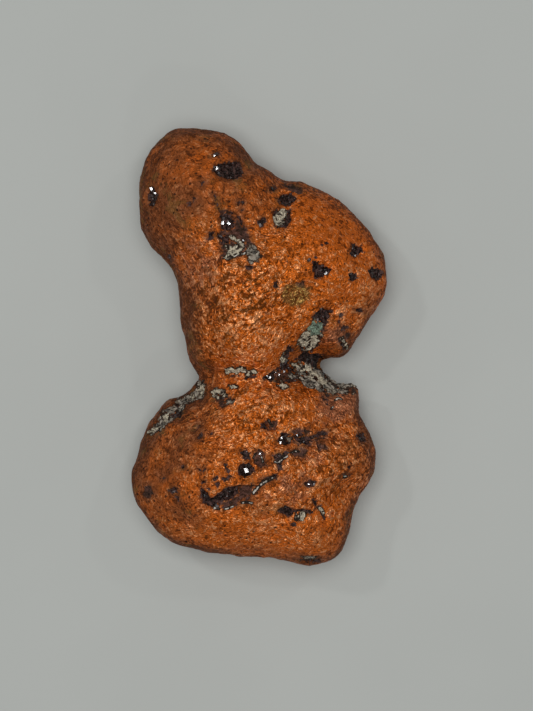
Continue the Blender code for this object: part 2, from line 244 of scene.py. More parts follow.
RIGHT_LOBE_MARKS: Marks = (
    Patch(((3.3, 24.4), (3.8, 25.4), (5.3, 26.0), (6.2, 24.9), (5.0, 23.9), (3.8, 24.0)),
          0.9, 0.55),
    Patch(((4.2, 27.5), (5.7, 27.2), (7.3, 26.8), (7.3, 25.9), (5.7, 25.9)), 0.6, 0.25, TARNISH),
    Patch(((2.6, 22.6), (4.2, 23.0), (5.2, 23.0), (5.0, 20.8), (4.5, 20.1), (2.7, 20.3)), 1.1, 0.4),
    Patch(((4.2, 23.0), (4.3, 22.2), (3.9, 21.2), (3.2, 20.2), (2.8, 21.5), (3.5, 22.6)),
          0.5, 0.0, MATRIX),
    Patch(((15.1, 15.5), (15.5, 16.7), (15.7, 17.4), (16.2, 16.8), (17.1, 17.0), (17.6, 16.3),
           (15.8, 15.2)), 0.7, 0.4),
    Pit(11.3, 17.4, 0.38, 0.25, 30, 0.25),
    Pit(10.5, 17.0, 0.26, 0.2, 0, 0.2),
    Patch(((8.9, 14.3), (10.3, 13.6), (11.9, 12.8), (11.3, 12.2), (10.1, 11.5), (9.3, 11.6),
           (8.9, 12.8)), 1.0, 0.5),
    Pit(8.3, 14.4, 0.3, 0.25, 0, 0.25),
    Pit(9.4, 14.9, 0.25, 0.2, 0, 0.2),
    Patch(((15.1, 12.0), (15.8, 12.4), (16.4, 11.9), (16.3, 11.2), (15.3, 11.0)), 0.6, 0.35),
    Patch(((18.2, 12.6), (19.1, 13.5), (20.6, 13.1), (20.9, 12.2), (20.0, 11.5), (18.9, 11.8)),
          1.0, 0.45),
    Pit(2.9, 10.3, 0.6, 0.4, 70, 0.3),
    Patch(((15.7, 6.4), (16.8, 6.6), (17.5, 6.1), (16.9, 5.8)), 0.3, 0.25),
    Patch(((4.0, 8.4), (4.5, 9.7), (5.6, 10.2), (6.7, 9.8), (8.3, 9.7), (8.2, 8.3), (6.9, 7.1),
           (5.0, 7.3)), 1.2, 0.15, OCHRE),
    Pit(6.9, 10.3, 0.8, 0.5, 0, 0.15, TARNISH),
)
GREEN_CREVICE_MARKS: Marks = (
    Patch(((10.3, 6.2), (11.5, 6.4), (12.2, 6.1), (11.7, 4.9), (11.2, 3.6), (10.4, 2.9),
           (9.0, 4.2), (9.1, 5.2)), 1.0, 0.5),
    Seam(((9.1, 4.0), (8.0, 2.6), (6.9, 1.0), (7.4, -0.6), (8.0, -1.3)), 0.25, 0.3),
    Seam(((10.3, 2.9), (10.2, 1.2), (8.8, -0.7)), 0.25, 0.3),
    Patch(((8.0, 2.3), (8.5, 3.7), (9.6, 4.3), (10.4, 3.7), (10.1, 2.4), (8.9, 1.8)),
          0.9, 0.1, MALACHITE),
    Patch(((8.7, 1.6), (9.2, 2.1), (10.2, 1.8), (9.9, 0.8), (9.2, 0.1), (8.4, -0.4),
           (7.7, -1.1), (7.9, 0.0)), 0.6, 0.1, MATRIX),
    Patch(((7.0, 1.6), (7.5, 2.2), (8.4, 2.4), (8.6, 0.9), (8.0, 0.2), (6.8, 0.4)),
          0.6, 0.1, MATRIX),
    Pit(7.7, 1.2, 0.3, 0.16, -20, 0.3),
    Pit(13.7, 5.3, 0.4, 0.24, 70, 0.3),
    Pit(13.4, 4.3, 0.25, 0.2, 0, 0.3),
    Pit(14.3, 3.2, 0.6, 0.28, 25, 0.3),
    Pit(14.9, 1.9, 0.6, 0.45, 60, 0.25, TARNISH),
    Seam(((13.7, 1.3), (14.1, 0.4), (14.5, -0.3)), 0.3, 0.2),
    Seam(((14.0, 1.5), (14.4, 0.7), (14.8, -0.1)), 0.17, 0.0, MATRIX),
)
WAIST_MARKS: Marks = (
    Seam(((-5.4, -4.1), (-4.6, -3.8), (-3.8, -4.0), (-3.2, -3.6), (-2.5, -3.9)), 0.30, 0.05, MATRIX),
    Seam(((-2.0, -4.5), (-1.3, -4.1), (-0.6, -4.1)), 0.20, 0.05, MATRIX),
    Seam(((-4.8, -4.8), (-3.2, -4.7)), 0.10, 0.2),
    Seam(((-2.2, -5.0), (-0.7, -4.8)), 0.2, 0.25),
    Patch(((0.6, -5.1), (2.2, -3.9), (4.4, -3.1), (5.6, -3.3), (6.6, -4.3), (6.4, -5.3),
           (4.3, -5.9), (2.2, -5.8)), 0.9, 0.45),
    Pit(5.7, -4.6, 0.5, 0.4, 0, 0.2, GREY),
    Patch(((3.0, -4.2), (4.6, -3.7), (5.4, -4.3), (4.6, -5.3), (3.2, -5.1)), 0.55, 0.35, TARNISH),
    Seam(((2.9, -5.4), (4.2, -5.5)), 0.12, 0.2, GREY),
    Seam(((5.2, -0.4), (4.5, -1.4), (4.2, -3.2)), 0.55, 0.4),
    Seam(((4.3, -1.1), (3.7, -1.8), (4.1, -2.6), (4.5, -2.2)), 0.2, 0.0, MATRIX),
    Patch(((6.1, -2.1), (7.7, -0.8), (9.0, -1.3), (10.9, -1.7), (11.6, -3.4), (10.1, -3.8),
           (8.3, -2.9), (7.0, -2.6)), 0.8, 0.9),
    Pit(4.1, -6.5, 0.55, 0.24, -20, 0.05, MATRIX),
    Pit(-4.2, -6.5, 0.35, 0.2, 0, 0.05, MATRIX),
    Patch(((5.2, -2.6), (6.9, -2.7), (8.6, -3.0), (10.2, -3.7), (11.8, -4.4), (12.9, -5.7),
           (14.2, -6.0), (16.4, -5.9), (16.3, -7.6), (13.7, -8.0), (11.4, -7.5), (9.4, -7.0), (7.7, -6.3),
           (6.9, -5.3), (6.4, -3.8)), 1.1, 0.15, GREY),
    Patch(((5.6, -2.8), (7.8, -3.1), (9.6, -4.0), (10.5, -5.1), (11.8, -6.3), (10.6, -6.2),
           (9.3, -5.6), (7.8, -4.4), (6.2, -3.4)), 0.6, 0.0, MATRIX),
    Seam(((11.9, -7.0), (13.0, -6.9)), 0.2, 0.0, MATRIX),
    Patch(((12.3, -6.1), (14.2, -6.0), (16.4, -5.9), (16.3, -7.5), (13.7, -7.9), (12.4, -7.4)),
          0.8, 0.0, TARNISH),
    Seam(((12.5, -6.9), (13.6, -7.3), (14.8, -7.1)), 0.32, 0.0, GREY),
    Seam(((13.5, -6.4), (14.8, -6.6), (16.1, -6.3)), 0.34, 0.0, GREY),
    Seam(((13.0, -6.2), (13.4, -6.8)), 0.14, 0.3),
    Seam(((14.4, -7.0), (15.6, -6.9)), 0.14, 0.3),
    Pit(9.5, -5.1, 0.45, 0.3, -30, 0.35),
    Pit(8.2, -4.3, 0.45, 0.16, -35, 0.3),
    Pit(7.4, -5.0, 0.4, 0.2, -40, 0.3),
    Seam(((10.9, -4.2), (11.6, -5.2), (12.0, -5.6)), 0.22, 0.35),
    Seam(((10.6, -6.7), (11.3, -7.3), (11.6, -8.0)), 0.24, 0.3),
    Pit(11.1, -8.5, 0.5, 0.3, -40, 0.25),
    Pit(11.6, -9.4, 0.3, 0.2, -60, 0.2),
    Seam(((12.8, -8.8), (13.3, -8.5), (13.9, -8.6)), 0.03, 0.0, HIGHLIGHT_RIM),
    Seam(((12.1, -10.3), (12.5, -9.9)), 0.02, 0.0, HIGHLIGHT_RIM),
)
FLAP_MARKS: Marks = (
    Patch(((-10.2, -5.6), (-9.3, -6.1), (-9.1, -7.5), (-9.4, -8.3), (-12.6, -9.5), (-13.1, -11.2),
           (-15.3, -12.5), (-16.6, -13.7), (-18.4, -14.7), (-18.8, -14.1), (-16.9, -12.5),
           (-16.7, -11.0), (-14.7, -10.0), (-13.7, -8.7), (-11.7, -8.0), (-10.4, -7.2)),
          0.9, 0.35, GREY),
    Pit(-9.8, -7.0, 0.95, 0.42, 80, 0.0, MATRIX),
    Pit(-11.4, -8.3, 0.5, 0.35, 40, 0.1, MATRIX),
    Seam(((-13.8, -9.6), (-13.4, -9.0), (-12.9, -9.0)), 0.07, 0.0, HIGHLIGHT_RIM),
    Patch(((-16.7, -11.4), (-15.8, -10.8), (-15.0, -11.4), (-16.0, -12.3)), 0.45, 0.1, MATRIX),
    Seam(((-18.6, -14.3), (-17.7, -13.6), (-16.7, -13.2)), 0.18, 0.05, MATRIX),
    Patch(((-14.9, -11.1), (-13.9, -10.3), (-13.1, -10.7), (-13.2, -11.6), (-14.3, -11.9)),
          0.6, 0.5),
    Pit(-13.9, -9.6, 0.5, 0.3, 80, 0.4),
    Patch(((-7.4, -8.5), (-5.5, -7.9), (-4.0, -8.7), (-5.0, -9.6), (-6.2, -9.9)), 0.7, 0.3, TARNISH),
    Seam(((-5.6, -9.3), (-4.9, -8.9), (-4.4, -8.9)), 0.20, 0.2, GREY),
    Patch(((-7.7, -7.4), (-7.0, -7.0), (-6.0, -7.2), (-5.7, -7.9), (-6.5, -8.3), (-7.5, -8.2)),
          0.55, 0.15, MATRIX),
    Pit(-6.9, -7.8, 0.42, 0.18, -20, 0.3),
    Pit(-6.0, -8.4, 0.35, 0.18, -10, 0.3),
    Pit(-10.3, -13.5, 0.5, 0.25, 50, 0.2, TARNISH),
    Pit(-9.7, -14.6, 0.5, 0.3, 60, 0.2),
    Pit(-8.0, -14.3, 0.25, 0.2, 0, 0.2),
)
LOWER_LOBE_MARKS: Marks = (
    Patch(((0.5, -12.8), (1.2, -12.1), (3.0, -12.1), (2.8, -13.5), (1.5, -13.8), (0.5, -13.4)),
          0.8, 0.3, TARNISH),
    Pit(1.0, -13.0, 0.5, 0.5, 0, 0.3),
    Seam(((1.6, -12.0), (2.3, -12.9)), 0.04, 0.0, HIGHLIGHT_RIM),
    Patch(((3.2, -15.0), (3.8, -14.3), (5.3, -14.5), (5.5, -15.5), (4.5, -16.2), (3.3, -15.8)),
          0.8, 0.35),
    Pit(5.0, -15.1, 0.32, 0.25, 0, 0.2, GREY),
    Patch(((5.3, -14.7), (6.7, -14.0), (9.0, -14.6), (10.3, -13.9), (11.4, -14.0), (11.0, -14.9),
           (8.8, -15.6), (8.1, -16.5), (6.6, -16.4), (5.6, -15.7)), 0.8, 0.3, TARNISH),
    Patch(((5.9, -15.0), (7.3, -14.7), (8.9, -15.1), (8.3, -15.8), (7.0, -16.0)), 0.5, 0.3),
    Seam(((8.8, -14.9), (10.0, -14.4), (11.1, -14.3)), 0.28, 0.3),
    Seam(((6.0, -14.6), (7.4, -14.4)), 0.25, 0.3),
    Seam(((5.7, -14.0), (7.0, -13.7), (8.3, -14.0)), 0.35, 0.2, TARNISH),
    Patch(((4.9, -17.1), (7.3, -16.4), (8.2, -17.0), (7.6, -18.0), (6.0, -17.9)),
          0.6, 0.3, TARNISH),
    Seam(((5.3, -17.4), (6.0, -17.1), (6.7, -17.1)), 0.05, 0.0, HIGHLIGHT_RIM),
    Patch(((9.7, -15.8), (11.2, -16.0), (11.6, -16.9), (10.1, -17.0)), 0.5, 0.25, TARNISH),
    Patch(((2.2, -17.9), (4.3, -17.3), (5.1, -17.3), (3.9, -18.7), (4.0, -19.9), (3.2, -20.2),
           (2.8, -18.8)), 0.45, 0.25),
    Seam(((2.6, -18.9), (3.1, -19.0), (3.9, -18.4), (4.6, -18.0)), 0.08, 0.0, HIGHLIGHT_RIM),
    Patch(((-3.0, -17.1), (-2.1, -16.8), (-1.4, -17.4), (-1.5, -18.2), (-2.5, -18.1)), 0.6, 0.35),
    Patch(((-1.0, -17.6), (0.0, -16.7), (0.8, -17.3), (1.2, -19.4), (0.3, -19.8), (-0.8, -18.9)),
          0.9, 0.35, TARNISH),
    Seam(((-0.9, -18.2), (-0.5, -17.7)), 0.05, 0.0, HIGHLIGHT_RIM),
    Seam(((0.4, -18.1), (0.6, -18.9)), 0.02, 0.0, HIGHLIGHT_RIM),
    Pit(-2.1, -20.2, 1.25, 1.1, 0, 0.55),
    Seam(((-5.7, -19.1), (-5.1, -20.4)), 0.22, 0.25),
    Pit(-7.1, -21.6, 0.45, 0.25, 40, 0.2),
    Pit(-6.8, -22.5, 0.28, 0.45, 0, 0.2),
    Pit(-5.5, -21.8, 0.5, 0.3, -30, 0.25),
    Pit(-4.8, -21.3, 0.3, 0.2, 0, 0.2),
    Pit(-8.3, -23.4, 0.25, 0.2, 0, 0.2),
    Pit(-9.0, -22.2, 0.4, 0.28, -30, 0.2),
    Seam(((-10.0, -20.1), (-9.3, -20.5), (-8.8, -19.9)), 0.16, 0.2),
    Patch(((-14.9, -23.8), (-14.2, -23.2), (-13.4, -23.3), (-13.7, -24.2)), 0.4, 0.3),
    Pit(-13.5, -25.0, 0.25, 0.45, 20, 0.2),
    Patch(((-19.2, -23.3), (-18.2, -23.0), (-17.7, -24.5), (-18.6, -25.5), (-19.4, -24.5)),
          0.8, 0.15, TARNISH),
    Pit(17.3, -15.1, 0.75, 0.6, -50, 0.35),
    Pit(15.3, -20.0, 0.35, 0.25, 0, 0.2),
    Pit(14.5, -21.4, 0.6, 0.3, 5, 0.2, TARNISH),
    Seam(((14.2, -21.7), (14.7, -21.6)), 0.08, 0.0, HIGHLIGHT_RIM),
    Pit(-12.7, -19.8, 0.25, 0.2, 0, 0.2),
    Pit(-16.0, -21.8, 0.25, 0.2, 0, 0.2),
)
GASH_MARKS: Marks = (
    Patch(((-9.5, -23.2), (-8.7, -23.9), (-8.1, -25.0), (-6.6, -24.2), (-5.4, -23.2),
           (-3.4, -22.7), (0.2, -22.8), (-0.3, -23.7), (-1.5, -24.9), (-3.1, -25.6),
           (-4.8, -26.4), (-6.8, -26.6), (-8.6, -26.2), (-9.4, -25.2)), 1.2, 0.5),
    Patch(((-3.4, -23.3), (-1.6, -22.9), (0.0, -22.9), (-0.5, -23.8), (-1.6, -24.8), (-3.1, -25.4),
           (-4.9, -26.2), (-6.6, -26.4), (-6.9, -26.0), (-4.6, -25.4), (-3.2, -24.5)),
          0.5, 0.45, TARNISH),
    Seam(((-7.4, -26.6), (-6.6, -26.8)), 0.05, 0.0, HIGHLIGHT_RIM),
    Seam(((-5.6, -26.8), (-4.9, -26.6), (-4.3, -26.3)), 0.06, 0.0, HIGHLIGHT_RIM),
    Seam(((-2.8, -25.7), (-2.0, -25.6), (-1.2, -25.7)), 0.07, 0.0, HIGHLIGHT_RIM),
    Seam(((-0.6, -23.9), (0.2, -22.9), (0.9, -22.0), (1.8, -21.6), (2.7, -21.3)), 0.3, 0.35),
    Seam(((-0.9, -24.2), (-0.2, -23.4), (0.5, -22.7), (1.1, -22.2), (2.3, -21.6)), 0.07, 0.0, HIGHLIGHT_RIM),
    Patch(((7.6, -22.6), (8.3, -22.1), (9.6, -22.2), (9.3, -23.0), (8.1, -23.1)), 0.45, 0.3),
    Patch(((3.3, -27.1), (4.3, -26.4), (5.8, -26.9), (6.1, -27.4), (4.7, -27.9)), 0.6, 0.4),
    Seam(((5.9, -27.2), (7.3, -27.0), (8.8, -27.3)), 0.25, 0.25),
    Patch(((6.0, -28.0), (6.8, -27.4), (7.7, -27.6), (7.1, -28.5), (6.2, -28.5)),
          0.45, 0.05, MATRIX),
    Pit(5.7, -29.4, 0.55, 0.3, 60, 0.25),
    Seam(((9.1, -25.3), (10.0, -26.7), (11.1, -28.6)), 0.25, 0.3),
    Seam(((9.2, -27.0), (10.3, -26.2)), 0.10, 0.2),
    Seam(((10.3, -26.9), (10.8, -27.7)), 0.14, 0.0, MATRIX),
    Seam(((7.3, -35.9), (8.6, -36.0), (10.0, -35.9)), 0.35, 0.5),
    Pit(8.4, -35.2, 0.7, 0.26, 0, 0.1, GREY),
)
UPPER_MARKS = (HEAD_MARKS + BIG_PATCH_MARKS + RIGHT_LOBE_MARKS + GREEN_CREVICE_MARKS
               + WAIST_MARKS + FLAP_MARKS + LOWER_LOBE_MARKS + GASH_MARKS)

LOWER_MARKS: Marks = (
    Pit(-13.0, 21.0, 1.7, 1.0, 35, 0.5),
    Pit(-2.5, 30.5, 1.4, 0.9, -20, 0.45),
    Pit(4.0, 19.5, 1.2, 1.0, 0, 0.4),
    Pit(15.5, 20.0, 1.5, 0.9, -40, 0.45),
    Pit(16.5, 9.0, 1.0, 0.9, 0, 0.4),
    Pit(-5.5, 7.0, 2.1, 1.1, 60, 0.4, MATRIX),
    Pit(4.5, 3.5, 1.1, 0.8, 0, 0.35),
    Pit(-14.5, -13.0, 1.4, 0.9, 20, 0.4),
    Pit(1.0, -19.0, 1.9, 1.1, -30, 0.45),
    Pit(13.5, -18.0, 1.1, 0.9, 0, 0.4, MATRIX),
    Pit(-1.5, -29.0, 2.2, 1.0, 15, 0.4),
    Pit(12.0, -31.0, 1.2, 0.8, 50, 0.4),
    Pit(-15.0, -29.0, 1.3, 0.9, -45, 0.4),
    Seam(((-10.0, -5.2), (-3.0, -4.0), (3.0, -5.0), (9.0, -2.3)), 0.6, 0.5, MATRIX),
    Seam(((-18.0, -17.0), (-12.0, -16.0), (-6.0, -18.5)), 0.35, 0.3, TARNISH),
    Seam(((3.5, 12.0), (9.0, 7.5), (15.0, 8.0)), 0.3, 0.3, TARNISH),
    Pit(8.0, 14.0, 0.8, 0.6, 0, 0.2, MALACHITE),
)


@dataclass(frozen=True)
class Lamp:
    """A small bare lamp, by its place and its power."""

    x: float
    y: float
    z: float
    watts: float

    def place(self) -> Vector:
        """Where it hangs, in millimetres."""
        return Vector((self.x, self.y, self.z))


@dataclass(frozen=True)
class Facet:
    """A clean crystal face, by its middle, its half size and the lamp whose light it catches."""

    x: float
    y: float
    half: float
    lamp: Lamp


LEFT_LAMP = Lamp(-170.0, 120.0, 420.0, 0.12)
RIGHT_LAMP = Lamp(190.0, 160.0, 420.0, 0.06)
NEAR_LAMP = Lamp(60.0, -230.0, 420.0, 0.05)
BRIGHT_FACETS: tuple[Facet, ...] = (
    Facet(-7.1, 29.5, 0.46, LEFT_LAMP), Facet(-7.3, 31.7, 0.22, LEFT_LAMP),
    Facet(-17.9, 26.4, 0.36, LEFT_LAMP), Facet(-17.3, 25.7, 0.24, LEFT_LAMP),
    Facet(-5.9, 20.5, 0.36, LEFT_LAMP), Facet(-4.9, 20.4, 0.32, LEFT_LAMP),
    Facet(-2.0, -20.4, 0.50, LEFT_LAMP), Facet(11.0, 12.2, 0.32, RIGHT_LAMP),
    Facet(0.2, -17.6, 0.22, LEFT_LAMP), Facet(3.8, -15.0, 0.2, LEFT_LAMP),
    Facet(3.6, -15.8, 0.24, LEFT_LAMP), Facet(8.3, -22.7, 0.2, LEFT_LAMP),
    Facet(1.8, -5.0, 0.32, LEFT_LAMP), Facet(1.3, -4.7, 0.2, LEFT_LAMP),
    Facet(2.6, -4.2, 0.30, LEFT_LAMP), Facet(3.4, -4.6, 0.2, LEFT_LAMP),
    Facet(4.2, -4.0, 0.2, NEAR_LAMP), Facet(6.3, -14.6, 0.2, RIGHT_LAMP),
    Facet(-2.6, 17.6, 0.2, RIGHT_LAMP), Facet(6.0, 24.7, 0.2, RIGHT_LAMP),
)
# Broad soft zones of the upper side as (x, y, reach, strength), each one named for its place.
Zones = tuple[tuple[float, float, float, float], ...]
PATINA_ZONES: Zones = (  # brown tarnish, thinner where negative
    (-14.0, 26.0, 8.0, 0.7),  # outer cheek of the head
    (-17.0, 19.0, 5.0, 0.45),  # jaw of the head
    (-3.0, 26.0, 4.5, 0.45),  # between the head's two clusters
    (-11.5, 4.0, 6.0, 0.5),  # left side of the neck
    (12.0, 16.0, 8.0, -0.4),  # cheek of the right lobe, thinner
    (12.5, 2.5, 2.5, 0.5),  # lip over the notch
    (1.5, -0.5, 5.5, -0.5),  # foot of the neck, thinner: painted light on its shaded hollow
    (4.0, -9.5, 7.0, -0.45),  # brow of the lower lobe, thinner
    (-11.0, -12.5, 5.0, 0.6),  # under the left shoulder's seam
    (16.0, -12.0, 4.5, 0.4),  # back of the spur
    (-18.0, -21.0, 6.5, 0.7),  # left flank of the lower lobe
    (5.0, -16.5, 5.0, 0.3),  # between the slanting streaks
    (0.5, -26.0, 3.0, 0.5),  # lee of the gash
    (-13.0, -30.0, 6.0, 0.35),  # left heel
)
COARSE_ZONES: Zones = (  # big flecks, calm and fine where negative
    (-3.0, 8.0, 9.0, 0.8),  # front of the neck
    (0.0, -10.0, 7.0, 0.5),  # brow of the lower lobe
    (13.0, -20.0, 7.0, 0.6),  # right cheek of the lower lobe
    (-11.0, 27.0, 10.0, -0.45),  # head
    (12.0, 16.0, 9.0, -0.35),  # right lobe
    (-16.0, -22.0, 6.0, -0.4),  # left flank of the lower lobe
    (0.0, -32.0, 9.0, -0.25),  # sole
)
ORANGE_AND_LIGHT_ZONES: Zones = (  # brighter orange tone; partly painted light where the surface's own shading darkens it
    (18.0, 8.0, 6.0, 1.4),  # chin of the right lobe
    (-2.0, 8.0, 8.0, 0.4),  # front of the neck
    (1.0, -1.0, 5.5, 1.7),  # foot of the neck: painted light on its shaded hollow
    (4.0, -10.0, 7.0, 0.8),  # brow of the lower lobe
    (13.0, -21.0, 7.0, 0.5),  # right cheek of the lower lobe
    (2.0, -32.0, 11.0, 0.9),  # sole
)
BLUSH_ZONES: Zones = (  # paler, pinkish metal
    (-10.0, 13.5, 4.5, 0.6),  # nape
    (12.5, 2.5, 2.5, 0.5),  # lip over the notch
    (13.3, -9.4, 3.2, 1.4),  # spur
    (9.5, -17.5, 2.5, 0.5),  # under the slanting streaks
    (5.4, -23.0, 3.0, 0.8),  # right of the gash
)


# ------------------------------------------------------------------ helpers
def smooth_step(band: Band, values: np.ndarray) -> np.ndarray:
    """Ease from 0 to 1 between two levels.

    Args:
        band: where the ease starts and where it ends.
        values: what is eased.

    Returns:
        Eased values.
    """
    low, high = band
    t = np.clip((values - low) / (high - low), 0.0, 1.0)
    return t * t * (3.0 - 2.0 * t)


def new_object(name: str, mesh: bpy.types.Mesh) -> bpy.types.Object:
    """Link a mesh into the scene as an object.

    Args:
        name: the object's name.
        mesh: its mesh.

    Returns:
        The new object.
    """
    made = bpy.data.objects.new(name, mesh)
    bpy.context.scene.collection.objects.link(made)
    return made


def applied(source: bpy.types.Object) -> bpy.types.Object:
    """Apply an object's modifiers.

    Args:
        source: the object, which is removed.

    Returns:
        A new object of the same name with the modified mesh.
    """
    name = source.name
    graph = bpy.context.evaluated_depsgraph_get()
    mesh = bpy.data.meshes.new_from_object(source.evaluated_get(graph))
    bpy.data.objects.remove(source, do_unlink=True)
    mesh.name = name
    return new_object(name, mesh)


class Reading(Enum):
    """What is read of every vertex; the value is what Blender calls it."""

    PLACE = "co"
    NORMAL = "normal"


def read_array(mesh: bpy.types.Mesh, kind: Reading) -> np.ndarray:
    """Read a vector of every vertex.

    Args:
        mesh: where from.
        kind: its place in metres, or its normal.

    Returns:
        One row a vertex.
    """
    flat = np.empty(len(mesh.vertices) * 3, dtype=np.float32)
    mesh.vertices.foreach_get(kind.value, flat)
    return flat.reshape(-1, 3).astype(np.float64)


def move_vertices(mesh: bpy.types.Mesh, points: np.ndarray) -> None:
    """Put every vertex at a new place, given in millimetres."""
    mesh.vertices.foreach_set("co", (points * MM).astype(np.float32).ravel())
    mesh.update()


def write_mask(mesh: bpy.types.Mesh, name: str, values: np.ndarray) -> None:
    """Store one number a vertex for the materials."""
    mask = mesh.attributes.new(name, "FLOAT", "POINT")
    mask.data.foreach_set("value", values.astype(np.float32))


# ------------------------------------------------------------------ materials
MIDDLE = 0.5  # what cloudy noise swings about
MIX_SHARE, MIX_FIRST, MIX_SECOND, MIX_RESULT = 0, 6, 7, 2  # a Mix node's sockets for colours


@dataclass(frozen=True)
class Cloud:
    """Cloudy noise.

    Attributes: span is the size of a cloud in millimetres, detail counts its finer layers,
    rough is their share, and twist says how far it is bent into worms.
    """

    span: float
    detail: float = 3.0
    rough: float = 0.55
    twist: float = 0.0


@dataclass(frozen=True)
class Ramp:
    """A smooth step, from start at the low level to end at the high one."""

    low: float
    high: float
    start: float = 0.0
    end: float = 1.0


@dataclass(frozen=True)
class Threads:
    """Thin wandering lines.

    Attributes: span is how far apart they lie in millimetres, core and edge are how far their
    cores and their soft edges reach, as shares of the noise, and cover is how well they hide
    what is under them.
    """

    span: float
    core: float
    edge: float
    cover: float


class Step(Enum):
    """A step of arithmetic; the value is what Blender's Math node calls it."""

    ADD = "ADD"
    SUBTRACT = "SUBTRACT"
    MULTIPLY = "MULTIPLY"
    MULTIPLY_ADD = "MULTIPLY_ADD"
    MAXIMUM = "MAXIMUM"
    MINIMUM = "MINIMUM"
    ABSOLUTE = "ABSOLUTE"


class Bench:
    """A material's node tree, with short calls to add and link nodes and to lay colours."""

    def __init__(self, name: str, ground: Colour) -> None:
        """Start a material with an empty tree.

        Args:
            name: the material's name.
            ground: the colour that the others are laid on.
        """
        self.material = bpy.data.materials.new(name)
        self.material.use_nodes = True
        self.tree = self.material.node_tree
        self.tree.nodes.clear()
        self.surface = self.tree.nodes.new("ShaderNodeBsdfPrincipled")
        output = self.tree.nodes.new("ShaderNodeOutputMaterial")
        self.tree.links.new(self.surface.outputs["BSDF"], output.inputs["Surface"])
        self.place = self.tree.nodes.new("ShaderNodeTexCoord").outputs["Object"]
        self.colour: Paint = ground

    def put(self, socket: Socket, value: object) -> None:
        """Set or link a socket.

        Args:
            socket: an input.
            value: a number, a tuple or another node's output.
        """
        if isinstance(value, Socket):
            self.tree.links.new(value, socket)
        else:
            socket.default_value = value

    def mask(self, name: str) -> Socket:
        """A per-vertex number stored on the mesh.

        Args:
            name: the attribute's name.

        Returns:
            Its value.
        """
        node = self.tree.nodes.new("ShaderNodeAttribute")
        node.attribute_name = name
        return node.outputs["Fac"]

    def drawn_out(self, turn: float, stretch: float) -> Socket:
        """Places drawn out along one direction of the plan.

        Args:
            turn: that direction, in degrees from +X.
            stretch: how many times longer things get.

        Returns:
            Coordinates for a texture.
        """
        node = self.tree.nodes.new("ShaderNodeMapping")
        node.vector_type = "TEXTURE"
        self.put(node.inputs["Vector"], self.place)
        node.inputs["Rotation"].default_value = (0.0, 0.0, math.radians(turn))
        node.inputs["Scale"].default_value = (stretch, 1.0, 1.0)
        return node.outputs["Vector"]

    def cloud(self, kind: Cloud, place: Socket | None = None) -> Socket:
        """Cloudy noise.

        Args:
            kind: its measures.
            place: where it is read, the plain object coordinates if left out.

        Returns:
            Values about 0.5.
        """
        node = self.tree.nodes.new("ShaderNodeTexNoise")
        self.put(node.inputs["Vector"], place or self.place)
        for name, value in (("Scale", 1.0 / (kind.span * MM)), ("Detail", kind.detail),
                            ("Roughness", kind.rough), ("Distortion", kind.twist)):
            node.inputs[name].default_value = value
        return node.outputs["Fac"]

    def cells(self, span: float) -> Socket:
        """Cells of about one size.

        Args:
            span: their size in millimetres.

        Returns:
            How far each place is from the middle of its cell.
        """
        node = self.tree.nodes.new("ShaderNodeTexVoronoi")
        self.put(node.inputs["Vector"], self.place)
        node.inputs["Scale"].default_value = 1.0 / (span * MM)
        return node.outputs["Distance"]

    def threads(self, kind: Threads) -> Socket:
        """Thin wandering lines.

        Args:
            kind: their measures.

        Returns:
            Their cover on a line, 0 off it.
        """
        winding = self.cloud(Cloud(kind.span, detail=2.0, rough=0.5, twist=1.5))
        gap = self.step(Step.ABSOLUTE, self.minus(winding, MIDDLE))
        return self.times(self.ease(gap, Ramp(kind.core, kind.edge, 1.0, 0.0)), kind.cover)

    def step(self, operation: Step, *values: Value) -> Socket:
        """One step of arithmetic.

        Args:
            operation: which one.
            values: its numbers.

        Returns:
            The result.
        """
        node = self.tree.nodes.new("ShaderNodeMath")
        node.operation = operation.value
        for socket, value in zip(node.inputs, values):
            self.put(socket, value)
        return node.outputs["Value"]

    def plus(self, first: Value, second: Value) -> Socket:
        """Add two numbers."""
        return self.step(Step.ADD, first, second)

    def minus(self, first: Value, second: Value) -> Socket:
        """Take the second number from the first."""
        return self.step(Step.SUBTRACT, first, second)

    def times(self, first: Value, second: Value) -> Socket:
        """Multiply two numbers."""
        return self.step(Step.MULTIPLY, first, second)

    def times_plus(self, first: Value, second: Value, third: Value) -> Socket:
        """Multiply two numbers and add a third."""
        return self.step(Step.MULTIPLY_ADD, first, second, third)

    def most(self, *values: Value) -> Socket:
        """The largest of some numbers."""
        return reduce(partial(self.step, Step.MAXIMUM), values)

    def wavered(self, value: Value, kind: Cloud, swing: float) -> Socket:
        """Make a value waver with cloudy noise, over the swing from its least to its most."""
        return self.times_plus(self.minus(self.cloud(kind), MIDDLE), swing, value)

    def ease(self, value: Value, ramp: Ramp, start: Value | None = None,
             end: Value | None = None) -> Socket:
        """Take a value along a smooth step.

        Args:
            value: what is eased.
            ramp: the step.
            start: the result at the low level, the ramp's own if left out.
            end: the result at the high level, the ramp's own if left out.

        Returns:
            The eased value.
        """
        node = self.tree.nodes.new("ShaderNodeMapRange")
        node.interpolation_type = "SMOOTHSTEP"
        for name, number in (("Value", value), ("From Min", ramp.low), ("From Max", ramp.high),
                             ("To Min", ramp.start if start is None else start),
                             ("To Max", ramp.end if end is None else end)):
            self.put(node.inputs[name], number)
        return node.outputs["Result"]

    def blend(self, share: Value, first: Paint, second: Paint) -> Socket:
        """Mix two colours.

        Args:
            share: the second colour's share.
            first: a colour or an output.
            second: the other.

        Returns:
            The mixed colour.
        """
        node = self.tree.nodes.new("ShaderNodeMix")
        node.data_type = "RGBA"
        self.put(node.inputs[MIX_SHARE], share)
        for index, paint in ((MIX_FIRST, first), (MIX_SECOND, second)):
            self.put(node.inputs[index], (*paint, 1.0) if isinstance(paint, tuple) else paint)
        return node.outputs[MIX_RESULT]

    def lay(self, share: Value, paint: Paint) -> None:
        """Lay a colour over those laid before, as thick as its share."""
        self.colour = self.blend(share, self.colour, paint)

